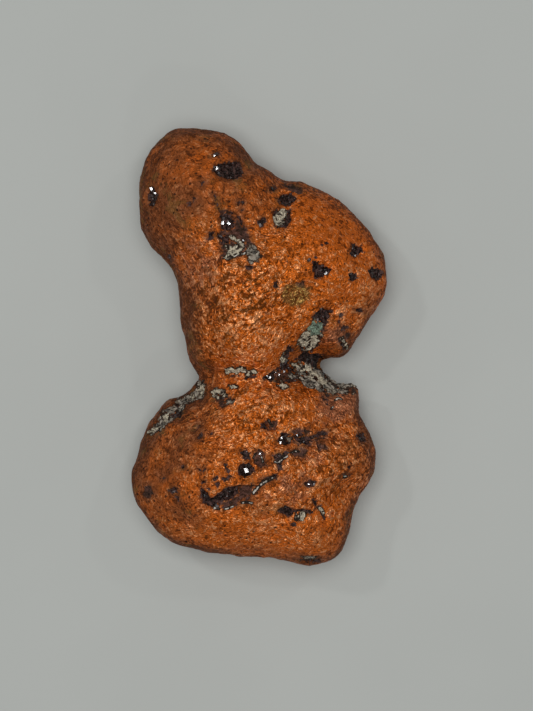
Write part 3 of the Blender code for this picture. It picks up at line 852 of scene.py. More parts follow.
    def bump(self, height: Value, depth: float, under: Socket | None = None) -> Socket:
        """Fine relief.

        Args:
            height: 0 to 1.
            depth: what 1 stands for, in millimetres.
            under: another relief that this one is added to.

        Returns:
            The bent normal.
        """
        node = self.tree.nodes.new("ShaderNodeBump")
        node.inputs["Distance"].default_value = depth * MM
        self.put(node.inputs["Height"], height)
        if under is not None:
            self.put(node.inputs["Normal"], under)
        return node.outputs["Normal"]

    def finish(self, **values: Value) -> bpy.types.Material:
        """Give the shader the colour laid so far, and set its other sockets.

        Args:
            values: socket names with underscores for spaces, and their values.

        Returns:
            The finished material.
        """
        self.put(self.surface.inputs["Base Color"], self.colour)
        for name, value in values.items():
            self.put(self.surface.inputs[name.replace("_", " ")], value)
        return self.material


# near-black: the dark of tarnish, crusts and cracks, and also painted shadow in the rings round the crusts
SOOT_AND_SHADOW: Colour = (0.030, 0.020, 0.014)
# painted sheen: thin grey lines standing in for light reflected in the dark cuprite
SHEEN_VEIN: Colour = (0.150, 0.108, 0.092)
SHEEN_VEINS = Threads(0.8, 0.008, 0.03, 0.4)


@dataclass(frozen=True)
class CopperFinish:
    """Rough native copper: bright flecks, orange metal, brown patina, and stained pits.

    Ramps named _tone go by the tone, those named _from by a cloud, and those named _edge or _ring,
    and those of the painted shadow rings, by the distance inside an outline. Those named _cover say
    how well a coat hides what is under it.
    """

    # Colours
    bright: Colour = (1.00, 0.41, 0.160)
    orange: Colour = (0.74, 0.170, 0.018)
    shade: Colour = (0.215, 0.043, 0.003)
    patina: Colour = (0.28, 0.100, 0.042)
    patina_shade: Colour = (0.110, 0.033, 0.011)
    blush: Colour = (0.62, 0.27, 0.155)
    blush_shade: Colour = (0.20, 0.075, 0.040)
    olive: Colour = (0.20, 0.115, 0.036)
    smear: Colour = (0.130, 0.036, 0.004)
    cuprite: Colour = (0.012, 0.005, 0.004)
    purple: Colour = (0.095, 0.047, 0.040)
    sheen_vein: Colour = SHEEN_VEIN
    matrix: Colour = (0.58, 0.51, 0.38)
    grey: Colour = (0.200, 0.155, 0.115)
    # dark colour, also laid as painted shadow round the crusts and the highlight rims
    soot_and_shadow: Colour = SOOT_AND_SHADOW
    # painted highlight colour of the thin pit-edge lines
    rim: Colour = (0.66, 0.61, 0.53)
    malachite: Colour = (0.17, 0.22, 0.165)
    ochre: Colour = (0.78, 0.50, 0.14)
    # The tone, mixed of worms, flecks and blotches
    worms: Cloud = Cloud(0.75, 2.0, 0.5, 1.3)
    worm_share: float = 0.55
    flecks: Cloud = Cloud(0.3, 2.0)
    fleck_share: float = 0.17
    blotches: Cloud = Cloud(1.8, 2.0, 0.5, 0.8)
    blotch_share: float = 0.28
    swing: float = 0.80
    coarse_swing: float = 0.65
    # lifts the tone by the mask of orange zones, painted light and painted flank shade
    light_and_shade_lift: float = 0.03
    # Metal
    orange_tone: Ramp = Ramp(0.42, 0.49)
    bright_tone: Ramp = Ramp(0.515, 0.59)
    # Patina, and the olive in it
    patina_tone: Ramp = Ramp(0.42, 0.57)
    patina_cloud: Cloud = Cloud(5.0)
    patina_waver: float = 1.6
    hollow_patina: float = 2.0
    patina_cover: Ramp = Ramp(0.0, 1.0, 0.0, 0.85)
    olive_cloud: Cloud = Cloud(3.1)
    olive_cover: Ramp = Ramp(0.54, 0.66, 0.0, 0.7)
    # Blush
    blush_tone: Ramp = Ramp(0.43, 0.56)
    blush_cloud: Cloud = Cloud(1.6)
    blush_waver: float = 2.0
    blush_cover: Ramp = Ramp(0.1, 0.9, 0.0, 0.65)
    # Smears, stretched along one direction
    smear_cloud: Cloud = Cloud(1.1, 1.0, 0.5, 0.5)
    smear_turn: float = 40.0
    smear_stretch: float = 2.2
    smear_from: Ramp = Ramp(0.56, 0.62)
    smear_cover: Ramp = Ramp(0.0, 0.8, 0.15, 0.8)
    # The ragged edge of stains and crusts
    ragged_cloud: Cloud = Cloud(0.6)
    raggedness: float = 1.2
    # Tarnish
    tarnish_edge: Ramp = Ramp(-0.15, 0.25, 0.0, 0.92)
    tarnish_tone: Ramp = Ramp(0.44, 0.56)
    # Ochre
    ochre_ring: Ramp = Ramp(-0.6, 0.0, 0.0, 0.6)
    ochre_edge: Ramp = Ramp(-0.2, 0.3)
    ochre_tone: Ramp = Ramp(0.48, 0.54)
    speck_cloud: Cloud = Cloud(0.45, 2.0)
    speck_from: Ramp = Ramp(0.44, 0.56, 0.15, 0.85)
    # Small round holes
    hole_span: float = 1.0
    hole_cloud: Cloud = Cloud(2.2)
    hole_from: Ramp = Ramp(0.40, 0.62, 0.05, 0.20)
    coarse_holes: float = -0.14
    hole_edge: Ramp = Ramp(0.0, 0.05)
    hole_cover: float = 0.85
    # Cuprite
    cuprite_edge: Ramp = Ramp(-0.06, 0.10)
    cuprite_cloud: Cloud = Cloud(0.6)
    purple_from: Ramp = Ramp(0.48, 0.60)
    sheen_veins: Threads = SHEEN_VEINS
    # Grey crust, pale matrix, and the painted shadow rings round both and round the highlight rims
    streaks: Cloud = Cloud(0.9, 2.0, 0.5, 0.8)
    grey_edge: Ramp = Ramp(-0.06, 0.08)
    grey_from: Ramp = Ramp(0.47, 0.56)
    pale_threads: Threads = Threads(1.0, 0.006, 0.022, 0.7)
    matrix_edge: Ramp = Ramp(-0.05, 0.08)
    matrix_grey_from: Ramp = Ramp(0.43, 0.46)
    matrix_pale_from: Ramp = Ramp(0.46, 0.52)
    dark_threads: Threads = Threads(1.3, 0.006, 0.020, 0.85)
    grey_shadow_ring: Ramp = Ramp(-0.22, -0.06)
    matrix_shadow_ring: Ramp = Ramp(-0.28, -0.08)
    highlight_rim_shadow_ring: Ramp = Ramp(-0.24, -0.12)
    # Malachite
    malachite_edge: Ramp = Ramp(-0.05, 0.15)
    # Painted highlight rims: thin pale lines that stand in for light caught on pit edges
    highlight_rim_cloud: Cloud = Cloud(0.7, 1.0)
    highlight_rim_waver: float = 0.5
    highlight_rim_edge: Ramp = Ramp(-0.03, 0.05)
    # Shine
    metallic_tone: Ramp = Ramp(0.43, 0.56, 0.55, 0.85)
    patina_metallic: Ramp = Ramp(0.0, 0.85, 1.0, 0.6)
    rough_tone: Ramp = Ramp(0.43, 0.58, 0.62, 0.44)
    patina_rough: float = 0.1
    calm_rough: float = -0.3
    dark_rough: float = -0.25
    crust_rough: float = 0.25
    specular: float = 0.1
    # Relief
    fine_cloud: Cloud = Cloud(0.2, 3.0, 0.6)
    fine_depth: float = 0.04
    worm_depth: float = 0.7
    hole_depth: float = 0.2

    def material(self) -> bpy.types.Material:
        """Build the copper's material, which reads the skin's masks."""
        return CopperPaint(self).painted()


class CopperPaint(Bench):
    """The copper's material, laid on coat by coat."""

    def __init__(self, look: CopperFinish) -> None:
        """Mix the tone and the ragged edge that the coats share.

        Args:
            look: the finish.
        """
        super().__init__("native_copper", look.shade)
        self.look = look
        self.there: dict[Filling, Socket] = {}
        self.coarse = self.mask("coarse")
        self.worms = self.cloud(look.worms)
        self.tone = self.mixed_tone()
        self.ragged = self.times(self.minus(self.cloud(look.ragged_cloud), MIDDLE), look.raggedness)

    def mixed_tone(self) -> Socket:
        """Mix worms, flecks and blotches, which swing wider where the metal is coarse.

        Returns:
            About 0.5, less in the dark hollows and more on the bright flecks.
        """
        look = self.look
        mixed = self.times(self.cloud(look.flecks), look.fleck_share)
        mixed = self.times_plus(self.worms, look.worm_share, mixed)
        mixed = self.times_plus(self.cloud(look.blotches), look.blotch_share, mixed)
        swing = self.times_plus(self.coarse, look.coarse_swing, look.swing)
        # the lift mask paints light in some zones, and paints shade on steep flanks
        level = self.times_plus(self.mask("orange_light_and_shade"), look.light_and_shade_lift, MIDDLE)
        return self.plus(self.times(self.minus(mixed, MIDDLE), swing), level)

    def toned(self, ramp: Ramp, low: Colour, high: Colour) -> Socket:
        """A colour that goes over into another as the tone rises."""
        return self.blend(self.ease(self.tone, ramp), low, high)

    def inside(self, filling: Filling) -> Socket:
        """Millimetres inside a filling's outline, made ragged."""
        return self.plus(self.mask(filling.value), self.ragged)

    def fill(self, filling: Filling, edge: Ramp, paint: Paint) -> None:
        """Lay a filling's colour where it lies, and note where."""
        self.there[filling] = self.ease(self.inside(filling), edge)
        self.lay(self.there[filling], paint)

    def lay_metal(self) -> None:
        """Lay orange metal on its shade, and bright flecks on that."""
        self.lay(self.ease(self.tone, self.look.orange_tone), self.look.orange)
        self.lay(self.ease(self.tone, self.look.bright_tone), self.look.bright)

    def lay_patina(self) -> Socket:
        """Lay brown patina, olive in places and thickest in the hollows; its mask also carries painted
        shade on steep flanks.

        Returns:
            How much of the metal it covers.
        """
        look = self.look
        olive = self.ease(self.cloud(look.olive_cloud), look.olive_cover)
        brown = self.toned(look.patina_tone, look.patina_shade, look.patina)
        thick = self.wavered(self.mask("patina"), look.patina_cloud, look.patina_waver)
        thick = self.times_plus(self.minus(MIDDLE, self.tone), look.hollow_patina, thick)
        cover = self.ease(thick, look.patina_cover)
        self.lay(cover, self.blend(olive, brown, look.olive))
        return cover

    def lay_blush(self) -> None:
        """Lay paler, pinkish metal."""
        look = self.look
        pink = self.toned(look.blush_tone, look.blush_shade, look.blush)
        spots = self.wavered(self.mask("blush"), look.blush_cloud, look.blush_waver)
        self.lay(self.ease(spots, look.blush_cover), pink)

    def lay_smears(self) -> None:
        """Lay dark smears, thickest where the metal is coarse."""
        look = self.look
        drawn = self.cloud(look.smear_cloud, self.drawn_out(look.smear_turn, look.smear_stretch))
        cover = self.ease(self.coarse, look.smear_cover)
        self.lay(self.ease(drawn, look.smear_from, end=cover), look.smear)

    def lay_stains(self) -> None:
        """Lay dark tarnish, purple where the tone is high, and specks of ochre in an olive ring."""
        look = self.look
        self.fill(TARNISH, look.tarnish_edge, self.toned(look.tarnish_tone, look.soot_and_shadow, look.purple))
        inside = self.inside(OCHRE)
        self.lay(self.ease(inside, look.ochre_ring), look.olive)
        specks = self.ease(self.cloud(look.speck_cloud), look.speck_from)
        self.lay(self.times(self.ease(inside, look.ochre_edge), specks),
                 self.toned(look.ochre_tone, look.smear, look.ochre))

    def lay_holes(self) -> Socket:
        """Lay small round dark holes, which are smaller where the metal is coarse.

        Returns:
            Where they are.
        """
        look = self.look
        size = self.ease(self.cloud(look.hole_cloud), look.hole_from)
        size = self.times_plus(self.coarse, look.coarse_holes, size)
        hole = self.ease(self.minus(size, self.cells(look.hole_span)), look.hole_edge)
        self.lay(self.times(hole, look.hole_cover), look.cuprite)
        return hole

    def lay_cuprite(self) -> None:
        """Lay near-black cuprite with purple clouds and thin grey lines of painted sheen."""
        look = self.look
        purple = self.ease(self.cloud(look.cuprite_cloud), look.purple_from)
        dark = self.blend(purple, look.cuprite, look.purple)
        self.fill(CUPRITE, look.cuprite_edge, self.blend(self.threads(look.sheen_veins), dark, look.sheen_vein))

    def lay_crusts(self) -> None:
        """Lay the grey crust, the painted shadow rings round the crusts and the highlight rims, the pale
        matrix and the malachite.
        """
        look = self.look
        streaks = self.cloud(look.streaks)
        dull = self.blend(self.ease(streaks, look.grey_from), look.soot_and_shadow, look.grey)
        self.fill(GREY, look.grey_edge, self.blend(self.threads(look.pale_threads), dull, look.matrix))
        # painted shadow: dark rings just outside the grey crust, the matrix and the highlight rims
        gap = self.most(self.ease(self.inside(GREY), look.grey_shadow_ring),
                        self.ease(self.inside(MATRIX), look.matrix_shadow_ring),
                        self.ease(self.mask(HIGHLIGHT_RIM.value), look.highlight_rim_shadow_ring))
        self.lay(self.minus(gap, self.there[GREY]), look.soot_and_shadow)
        pale = self.blend(self.ease(streaks, look.matrix_grey_from), look.soot_and_shadow, look.grey)
        pale = self.blend(self.ease(streaks, look.matrix_pale_from), pale, look.matrix)
        self.fill(MATRIX, look.matrix_edge, self.blend(self.threads(look.dark_threads), pale, look.soot_and_shadow))
        self.fill(MALACHITE, look.malachite_edge, look.malachite)

    def lay_highlight_rims(self) -> None:
        """Paint thin pale highlight lines on pit edges, standing in for the light they catch, whose outline
        wavers only a little.
        """
        look = self.look
        inside = self.wavered(self.mask(HIGHLIGHT_RIM.value), look.highlight_rim_cloud, look.highlight_rim_waver)
        self.there[HIGHLIGHT_RIM] = self.ease(inside, look.highlight_rim_edge)
        self.lay(self.there[HIGHLIGHT_RIM], look.rim)

    def painted(self) -> bpy.types.Material:
        """Lay every coat, then set the shine and the relief.

        Returns:
            The finished material.
        """
        look, there = self.look, self.there
        self.lay_metal()
        patina = self.lay_patina()
        self.lay_blush()
        self.lay_smears()
        self.lay_stains()
        hole = self.lay_holes()
        self.lay_cuprite()
        self.lay_crusts()
        self.lay_highlight_rims()
        bare = self.minus(1.0, self.most(hole, *there.values()))
        metallic = self.times(self.ease(self.tone, look.metallic_tone), bare)
        metallic = self.times(metallic, self.ease(patina, look.patina_metallic))
        rough = self.ease(self.tone, look.rough_tone)
        for share, change in ((patina, look.patina_rough),
                              (self.step(Step.MINIMUM, self.coarse, 0.0), look.calm_rough),
                              (self.most(there[CUPRITE], there[TARNISH]), look.dark_rough),
                              (self.most(there[MATRIX], there[GREY]), look.crust_rough)):
            rough = self.times_plus(share, change, rough)
        fine = self.bump(self.cloud(look.fine_cloud), look.fine_depth)
        height = self.minus(self.worms, self.times(hole, look.hole_depth))
        relief = self.bump(height, look.worm_depth, fine)
        return self.finish(Metallic=metallic, Roughness=rough, Normal=relief,
                           Specular_IOR_Level=look.specular)


@dataclass(frozen=True)
class CrystalFinish:
    """Glossy purple-black cuprite, with thin grey lines of painted sheen."""

    dark: Colour = (0.009, 0.004, 0.003)
    red: Colour = (0.055, 0.022, 0.018)
    sheen_vein: Colour = SHEEN_VEIN
    red_cloud: Cloud = Cloud(0.8)
    red_from: Ramp = Ramp(0.45, 0.65)
    sheen_veins: Threads = SHEEN_VEINS
    rough_cloud: Cloud = Cloud(0.5)
    rough: Ramp = Ramp(0.35, 0.65, 0.27, 0.45)
    clean_rough: Ramp = Ramp(0.0, 1.0, end=0.08)  # it starts at the cloudy roughness above
    grain: Cloud = Cloud(0.25)
    grain_depth: float = 0.008

    def material(self) -> bpy.types.Material:
        """Build the crystals' material, which reads each crystal's shade: 1 is clean and glossy.

        Returns:
            The material.
        """
        b = Bench("cuprite", self.dark)
        b.lay(b.ease(b.cloud(self.red_cloud), self.red_from), self.red)
        # painted sheen: thin grey lines over the dark crystal colour
        b.lay(b.threads(self.sheen_veins), self.sheen_vein)
        rough = b.ease(b.cloud(self.rough_cloud), self.rough)
        return b.finish(Metallic=0.0, Roughness=b.ease(b.mask("shade"), self.clean_rough, start=rough),
                        Normal=b.bump(b.cloud(self.grain), self.grain_depth))


@dataclass(frozen=True)
class CrustFinish:
    """Dull earthy crust of one pale colour and a darker one, with thin threads of a third."""

    name: str
    pale: Colour
    dark: Colour
    thread: Colour
    thread_span: float
    thread_core: float = 0.006
    thread_edge: float = 0.022
    thread_cover: float = 0.8
    mottle: Cloud = Cloud(0.5)
    mottle_swing: float = 3.0
    pale_from: Ramp = Ramp(0.0, 1.0)
    rough_cloud: Cloud = Cloud(0.4)
    rough: Ramp = Ramp(0.4, 0.6, 0.55, 0.85)
    specular: float = 0.3
    grain: Cloud = Cloud(0.2)
    grain_depth: float = 0.06

    def material(self) -> bpy.types.Material:
        """Build the crust's material, which reads each grain's own shade.

        Returns:
            The material.
        """
        b = Bench(self.name, self.dark)
        b.lay(b.ease(b.wavered(b.mask("shade"), self.mottle, self.mottle_swing), self.pale_from), self.pale)
        threads = Threads(self.thread_span, self.thread_core, self.thread_edge, self.thread_cover)
        b.lay(b.threads(threads), self.thread)
        return b.finish(Roughness=b.ease(b.cloud(self.rough_cloud), self.rough),
                        Specular_IOR_Level=self.specular,
                        Normal=b.bump(b.cloud(self.grain), self.grain_depth))


@dataclass(frozen=True)
class FloorFinish:
    """A plain pale grey sheet, a little lighter in broad clouds."""

    grey: Colour = (0.52, 0.54, 0.515)
    lift: float = 1.02
    cloud: Cloud = Cloud(60.0)
    lighter_from: Ramp = Ramp(0.4, 0.6)
    roughness: float = 0.9
    specular: float = 0.1

    def material(self) -> bpy.types.Material:
        """Build the floor's material.

        Returns:
            The material.
        """
        b = Bench("pale_floor", self.grey)
        b.lay(b.ease(b.cloud(self.cloud), self.lighter_from), tuple(part * self.lift for part in self.grey))
        return b.finish(Roughness=self.roughness, Specular_IOR_Level=self.specular)


# ------------------------------------------------------------------ the nugget
@dataclass
class BakeMap:
    """A flat map of the nugget in two charts, an upper and a lower, cut apart at its girdle."""

    seam_height: float = 10.5
    margin: float = 0.008
    weld: float = 0.001

    def flattened(self) -> bpy.types.Mesh:
        """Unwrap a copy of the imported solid.

        Returns:
            Its mesh, with the map.
        """
        sheet = new_object("bake_map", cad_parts[NODE].data.copy())
        edit = bmesh.new()
        edit.from_mesh(sheet.data)
        bmesh.ops.remove_doubles(edit, verts=edit.verts, dist=self.weld * MM)
        for line in edit.edges:
            sides = {self.is_upper(face.calc_center_median()) for face in line.link_faces}
            line.seam = len(sides) > 1
        edit.to_mesh(sheet.data)
        edit.free()
        sheet.data.uv_layers.active = sheet.data.uv_layers.new(name=BAKE_MAP)
        bpy.ops.object.select_all(action="DESELECT")
        sheet.select_set(True)
        bpy.context.view_layer.objects.active = sheet
        bpy.ops.object.mode_set(mode="EDIT")
        bpy.ops.mesh.select_all(action="SELECT")
        bpy.ops.uv.unwrap(method="MINIMUM_STRETCH", margin=self.margin)
        bpy.ops.uv.select_all(action="SELECT")
        bpy.ops.uv.average_islands_scale()
        bpy.ops.uv.pack_islands(margin=self.margin, rotate=True)
        bpy.ops.object.mode_set(mode="OBJECT")
        mesh = sheet.data
        bpy.data.objects.remove(sheet, do_unlink=True)
        return mesh

    def is_upper(self, place: Vector) -> bool:
        """Tell whether a place, in metres, is above the girdle."""
        return place.z > self.seam_height * MM

    def spread(self, mesh: bpy.types.Mesh) -> None:
        """Lay the map on a finer skin of the same form.

        Args:
            mesh: the skin.
        """
        sheet = self.flattened()
        sheet.calc_loop_triangles()
        corners = read_array(sheet, Reading.PLACE)
        uv = np.empty(len(sheet.loops) * 2, dtype=np.float32)
        sheet.uv_layers[BAKE_MAP].data.foreach_get("uv", uv)
        uv = uv.reshape(-1, 2).astype(np.float64)
        vertex_of = np.array([tri.vertices for tri in sheet.loop_triangles])
        loop_of = np.array([tri.loops for tri in sheet.loop_triangles])
        upper = corners[vertex_of].mean(axis=1)[:, 2] > self.seam_height * MM
        whole = BVHTree.FromPolygons(corners.tolist(), vertex_of.tolist())
        face_upper = np.array([upper[whole.find_nearest(f.center)[2]] for f in mesh.polygons])
        points = read_array(mesh, Reading.PLACE)
        charts = []
        for side in (True, False):
            kept = np.flatnonzero(upper == side)
            tree = BVHTree.FromPolygons(corners.tolist(), vertex_of[kept].tolist())
            found = [tree.find_nearest(point) for point in points]
            near = kept[[hit[2] for hit in found]]
            share = barycentric(np.array([hit[0] for hit in found]), corners[vertex_of[near]])
            charts.append((share[:, :, None] * uv[loop_of[near]]).sum(axis=1))
        vertex = np.empty(len(mesh.loops), dtype=np.int32)
        mesh.loops.foreach_get("vertex_index", vertex)
        sides = np.repeat(face_upper, [len(f.vertices) for f in mesh.polygons])
        laid = np.where(sides[:, None], charts[0][vertex], charts[1][vertex])
        layer = mesh.uv_layers.new(name=BAKE_MAP)
        layer.data.foreach_set("uv", np.clip(laid, 0.0, 1.0).astype(np.float32).ravel())
        bpy.data.meshes.remove(sheet)


def barycentric(points: np.ndarray, corners: np.ndarray) -> np.ndarray:
    """Weigh each triangle's corners so that they meet at a point on it.

    Args:
        points: one row a point.
        corners: three rows of x, y, z for each point.

    Returns:
        Three shares a point, which add up to 1.
    """
    first, second = corners[:, 1] - corners[:, 0], corners[:, 2] - corners[:, 0]
    away = points - corners[:, 0]
    aa, ab, bb = (first * first).sum(1), (first * second).sum(1), (second * second).sum(1)
    pa, pb = (away * first).sum(1), (away * second).sum(1)
    area = aa * bb - ab * ab
    v, w = (bb * pa - ab * pb) / area, (aa * pb - ab * pa) / area
    return np.stack([1.0 - v - w, v, w], axis=1)


PATTERN_START = (0.0, 3.0, 11.0)  # where the relief's patterns begin in the noise
PATTERN_STEP = (1.0, 1.7, -1.0)  # how far each one lies from the next


@dataclass(frozen=True)
class Relief:
    """One layer of seeded lumps on the skin.

    Attributes: span is the size of the largest lumps, height how far they rise or sink, octaves
    counts the layers of lumps, and number sets the layer's pattern apart from the others'.
    """

    span: float
    height: float
    octaves: int
    number: float

    def at(self, points: np.ndarray) -> np.ndarray:
        """Find how far the layer lifts each point.

        Args:
            points: rows of x, y, z in millimetres.

        Returns:
            One lift a point, below 0 about as often as above.
        """
        shift = Vector([start + self.number * step for start, step in zip(PATTERN_START, PATTERN_STEP)])
        roughness, gap = 1.0, 2.0
        return self.height * np.array([
            noise.fractal(Vector(p) / self.span + shift, roughness, gap, self.octaves) for p in points
        ])


OUTSIDE = -1.0  # what a mask says far from any mark


@dataclass
class CopperSkin:
    """The copper lump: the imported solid's form with fine skin, pits and grain.

    Attributes: a mark is looked for up to mark_margin round its box, and the skin is cut finer
    from fine_reach outside it. Its wall goes down from wall_start inside its outline to
    wall_share of its reach and wall_least more. ragged and spill move its outline, the more the
    wider it is, up to each one's limit. Bands named _fade, _edge or _slope are the two levels
    that something eases between.
    """

    voxel: float = 0.52
    soften_factor: float = 0.5
    soften_passes: int = 6
    # Marks
    fine_reach: float = 0.2
    fine_cuts: int = 2
    facing_limit: float = -0.15
    mark_margin: float = 1.2
    wall_start: float = -0.10
    wall_share: float = 0.4
    wall_least: float = 0.1
    ragged: Relief = Relief(0.7, 0.50, 3, 5.0)
    ragged_limit: float = 0.6
    spill: float = 0.18
    spill_limit: float = 0.5
    # Relief
    lumps: Relief = Relief(5.0, 0.20, 2, 1.0)
    clumps: Relief = Relief(1.6, 0.15, 2, 2.0)
    grain: Relief = Relief(0.8, 0.06, 1, 3.0)
    crags: Relief = Relief(0.55, 0.12, 2, 4.0)
    crag_edge: Band = (-0.1, 0.2)
    pit_calm: float = 0.7
    pit_fade: Band = (0.0, 0.3)
    ground_fade: Band = (0.0, 1.2)
    # Pinholes
    pinholes: int = 420
    pinhole_radius: Band = (0.22, 0.42)
    pinhole_depth: Band = (0.12, 0.28)
    pinhole_box: float = 1.0
    seed: int = 11
    # Patina, painted shade on steep flanks, and the other zones
    thin_patina: float = 0.10
    # painted shade: more brown on steep flanks, which turn from the light
    flank_patina: float = 0.55
    flank_slope: Band = (0.80, 0.20)
    # more brown on faces that point down
    under_patina: float = 0.15
    halo: float = 0.45
    halo_edge: Band = (-0.8, 0.0)
    coarse_limits: Band = (-0.6, 1.0)
    # painted shade: the tone is pushed down on steep flanks
    flank_shade: float = 1.6
    flank_shade_slope: Band = (0.85, 0.25)
    finish: CopperFinish = field(default_factory=CopperFinish)

    def skinned(self) -> bpy.types.Object:
        """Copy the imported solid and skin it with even, fine faces.

        Returns:
            The new lump.
        """
        lump = new_object("nugget_copper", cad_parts[NODE].data.copy())
        lump.data.materials.clear()
        skin = lump.modifiers.new("skin", "REMESH")
        skin.mode = "VOXEL"
        skin.voxel_size = self.voxel * MM
        soften = lump.modifiers.new("soften", "SMOOTH")
        soften.factor = self.soften_factor
        soften.iterations = self.soften_passes
        return applied(lump)

    def refine(self, mesh: bpy.types.Mesh) -> None:
        """Cut the faces in and around the marks finer.

        Args:
            mesh: the skin.
        """
        points = read_array(mesh, Reading.PLACE) / MM
        marks = self.outlines(points, read_array(mesh, Reading.NORMAL))
        near = np.max([inside for _, inside in marks], axis=0) > -self.fine_reach
        edit = bmesh.new()
        edit.from_mesh(mesh)
        edit.verts.ensure_lookup_table()
        faces = [f for f in edit.faces if any(near[v.index] for v in f.verts)]
        lines = list({line for face in faces for line in face.edges})
        bmesh.ops.subdivide_edges(edit, edges=lines, cuts=self.fine_cuts, use_grid_fill=True)
        bmesh.ops.triangulate(edit, faces=[f for f in edit.faces if len(f.verts) > 4])
        edit.to_mesh(mesh)
        edit.free()
        mesh.update()

    def outlines(self, points: np.ndarray, normals: np.ndarray) -> list[tuple[Mark, np.ndarray]]:
        """Measure how far inside each mark every vertex lies.

        Args:
            points: the skin's vertices.
            normals: their normals.

        Returns:
            Each mark with millimetres inside its outline, -1 at most outside and on the other face.
        """
        found = []
        for face, marks in ((Face.UPPER, UPPER_MARKS), (Face.LOWER, LOWER_MARKS)):
            facing = normals[:, 2] * face.value > self.facing_limit
            for mark in marks:
                low = np.min(mark.corners(), axis=0) - self.mark_margin
                high = np.max(mark.corners(), axis=0) + self.mark_margin
                boxed = np.all((points[:, :2] > low) & (points[:, :2] < high), axis=1)
                near = np.flatnonzero(facing & boxed)
                inside = np.full(len(points), OUTSIDE)
                inside[near] = np.maximum(mark.inside(points[near, :2]), OUTSIDE)
                found.append((mark, inside))
        return found

    def carve(self, points: np.ndarray,
              normals: np.ndarray) -> tuple[np.ndarray, dict[str, np.ndarray]]:
        """Find how deep the marks sink the skin, and where each filling lies.

        Args:
            points: the skin's vertices.
            normals: their normals.

        Returns:
            How deep, and one mask a filling: millimetres inside its outline.
        """
        sunk = np.zeros(len(points))
        masks = {filling.value: np.full(len(points), OUTSIDE) for filling in Filling}
        ragged = self.ragged.at(points)
        for mark, inside in self.outlines(points, normals):
            reach = mark.reach()
            if mark.filling is not HIGHLIGHT_RIM:
                inside = (inside + ragged * min(reach, self.ragged_limit)
                          + self.spill * min(reach, self.spill_limit))
            wall = (self.wall_start, self.wall_share * reach + self.wall_least)
            sunk = np.maximum(sunk, mark.depth * smooth_step(wall, inside))
            for name in masks:
                masks[name] = np.minimum(masks[name], -inside)
            name = mark.filling.value
            masks[name] = np.maximum(masks[name], inside)
        return sunk, masks

    def prick(self, points: np.ndarray) -> np.ndarray:
        """Scatter small pinholes over the whole skin.

        Args:
            points: the skin's vertices.

        Returns:
            How deep they sink each vertex.
        """
        rng = np.random.default_rng(self.seed)
        sunk = np.zeros(len(points))
        for index in rng.choice(len(points), self.pinholes, replace=False):
            radius = rng.uniform(*self.pinhole_radius)
            near = np.flatnonzero(np.abs(points - points[index]).max(axis=1) < self.pinhole_box)
            gap = np.linalg.norm(points[near] - points[index], axis=1) / radius
            depth = rng.uniform(*self.pinhole_depth)
            sunk[near] = np.maximum(sunk[near], depth * np.exp(-gap ** 2))
        return sunk

    def lifted(self, points: np.ndarray, sunk: np.ndarray,
               masks: dict[str, np.ndarray]) -> np.ndarray:
        """Add up the layers of relief, calmer in pits and craggy on crusts.

        Args:
            points: the skin's vertices.
            sunk: how deep the marks sink them.
            masks: where each filling lies.

        Returns:
            How far each vertex is lifted.
        """
        calm = 1.0 - self.pit_calm * smooth_step(self.pit_fade, sunk)
        earthy = np.max([masks[filling.value] for filling in (MATRIX, GREY, MALACHITE)], axis=0)
        return (self.lumps.at(points) + self.clumps.at(points) * calm + self.grain.at(points) * calm
                + self.crags.at(points) * smooth_step(self.crag_edge, earthy))

    def zoned(self, points: np.ndarray, zones: Zones) -> np.ndarray:
        """Add up soft round zones.

        Args:
            points: the skin's vertices.
            zones: each zone's middle, reach and strength.

        Returns:
            One number a vertex.
        """
        total = np.zeros(len(points))
        for x, y, reach, strength in zones:
            away = np.hypot(points[:, 0] - x, points[:, 1] - y) / reach
            total += strength * np.exp(-away ** 2)
        return total

    def patina(self, points: np.ndarray, normals: np.ndarray) -> np.ndarray:
        """Say how thick the brown is: patina, painted shade on steep flanks, and more on faces that point
        down.

        Args:
            points: the skin's vertices.
            normals: their normals.

        Returns:
            About 0 for bare metal to 1 for brown.
        """
        thick = self.thin_patina + self.zoned(points, PATINA_ZONES)
        # painted shade: browner on steep flanks
        thick += self.flank_patina * smooth_step(self.flank_slope, np.abs(normals[:, 2]))
        # more brown on faces that point down
        thick[normals[:, 2] < 0.0] += self.under_patina
        return thick

    def mottle(self, points: np.ndarray, normals: np.ndarray, masks: dict[str, np.ndarray]) -> None:
        """Add the masks of the broad zones to those of the fillings.

        Args:
            points: the carved skin's vertices.
            normals: their normals before it was carved.
            masks: where each filling lies; the new masks are added to it.
        """
        filled = np.max(list(masks.values()), axis=0)
        # the patina mask also carries painted shade on steep flanks
        masks["patina"] = self.patina(points, normals) + self.halo * smooth_step(self.halo_edge, filled)
        masks["coarse"] = np.clip(self.zoned(points, COARSE_ZONES), *self.coarse_limits)
        # painted shade: steep flanks darken; the lifted zones are partly painted light
        steep = smooth_step(self.flank_shade_slope, np.abs(normals[:, 2]))
        masks["orange_light_and_shade"] = self.zoned(points, ORANGE_AND_LIGHT_ZONES) - self.flank_shade * steep
        masks["blush"] = self.zoned(points, BLUSH_ZONES)

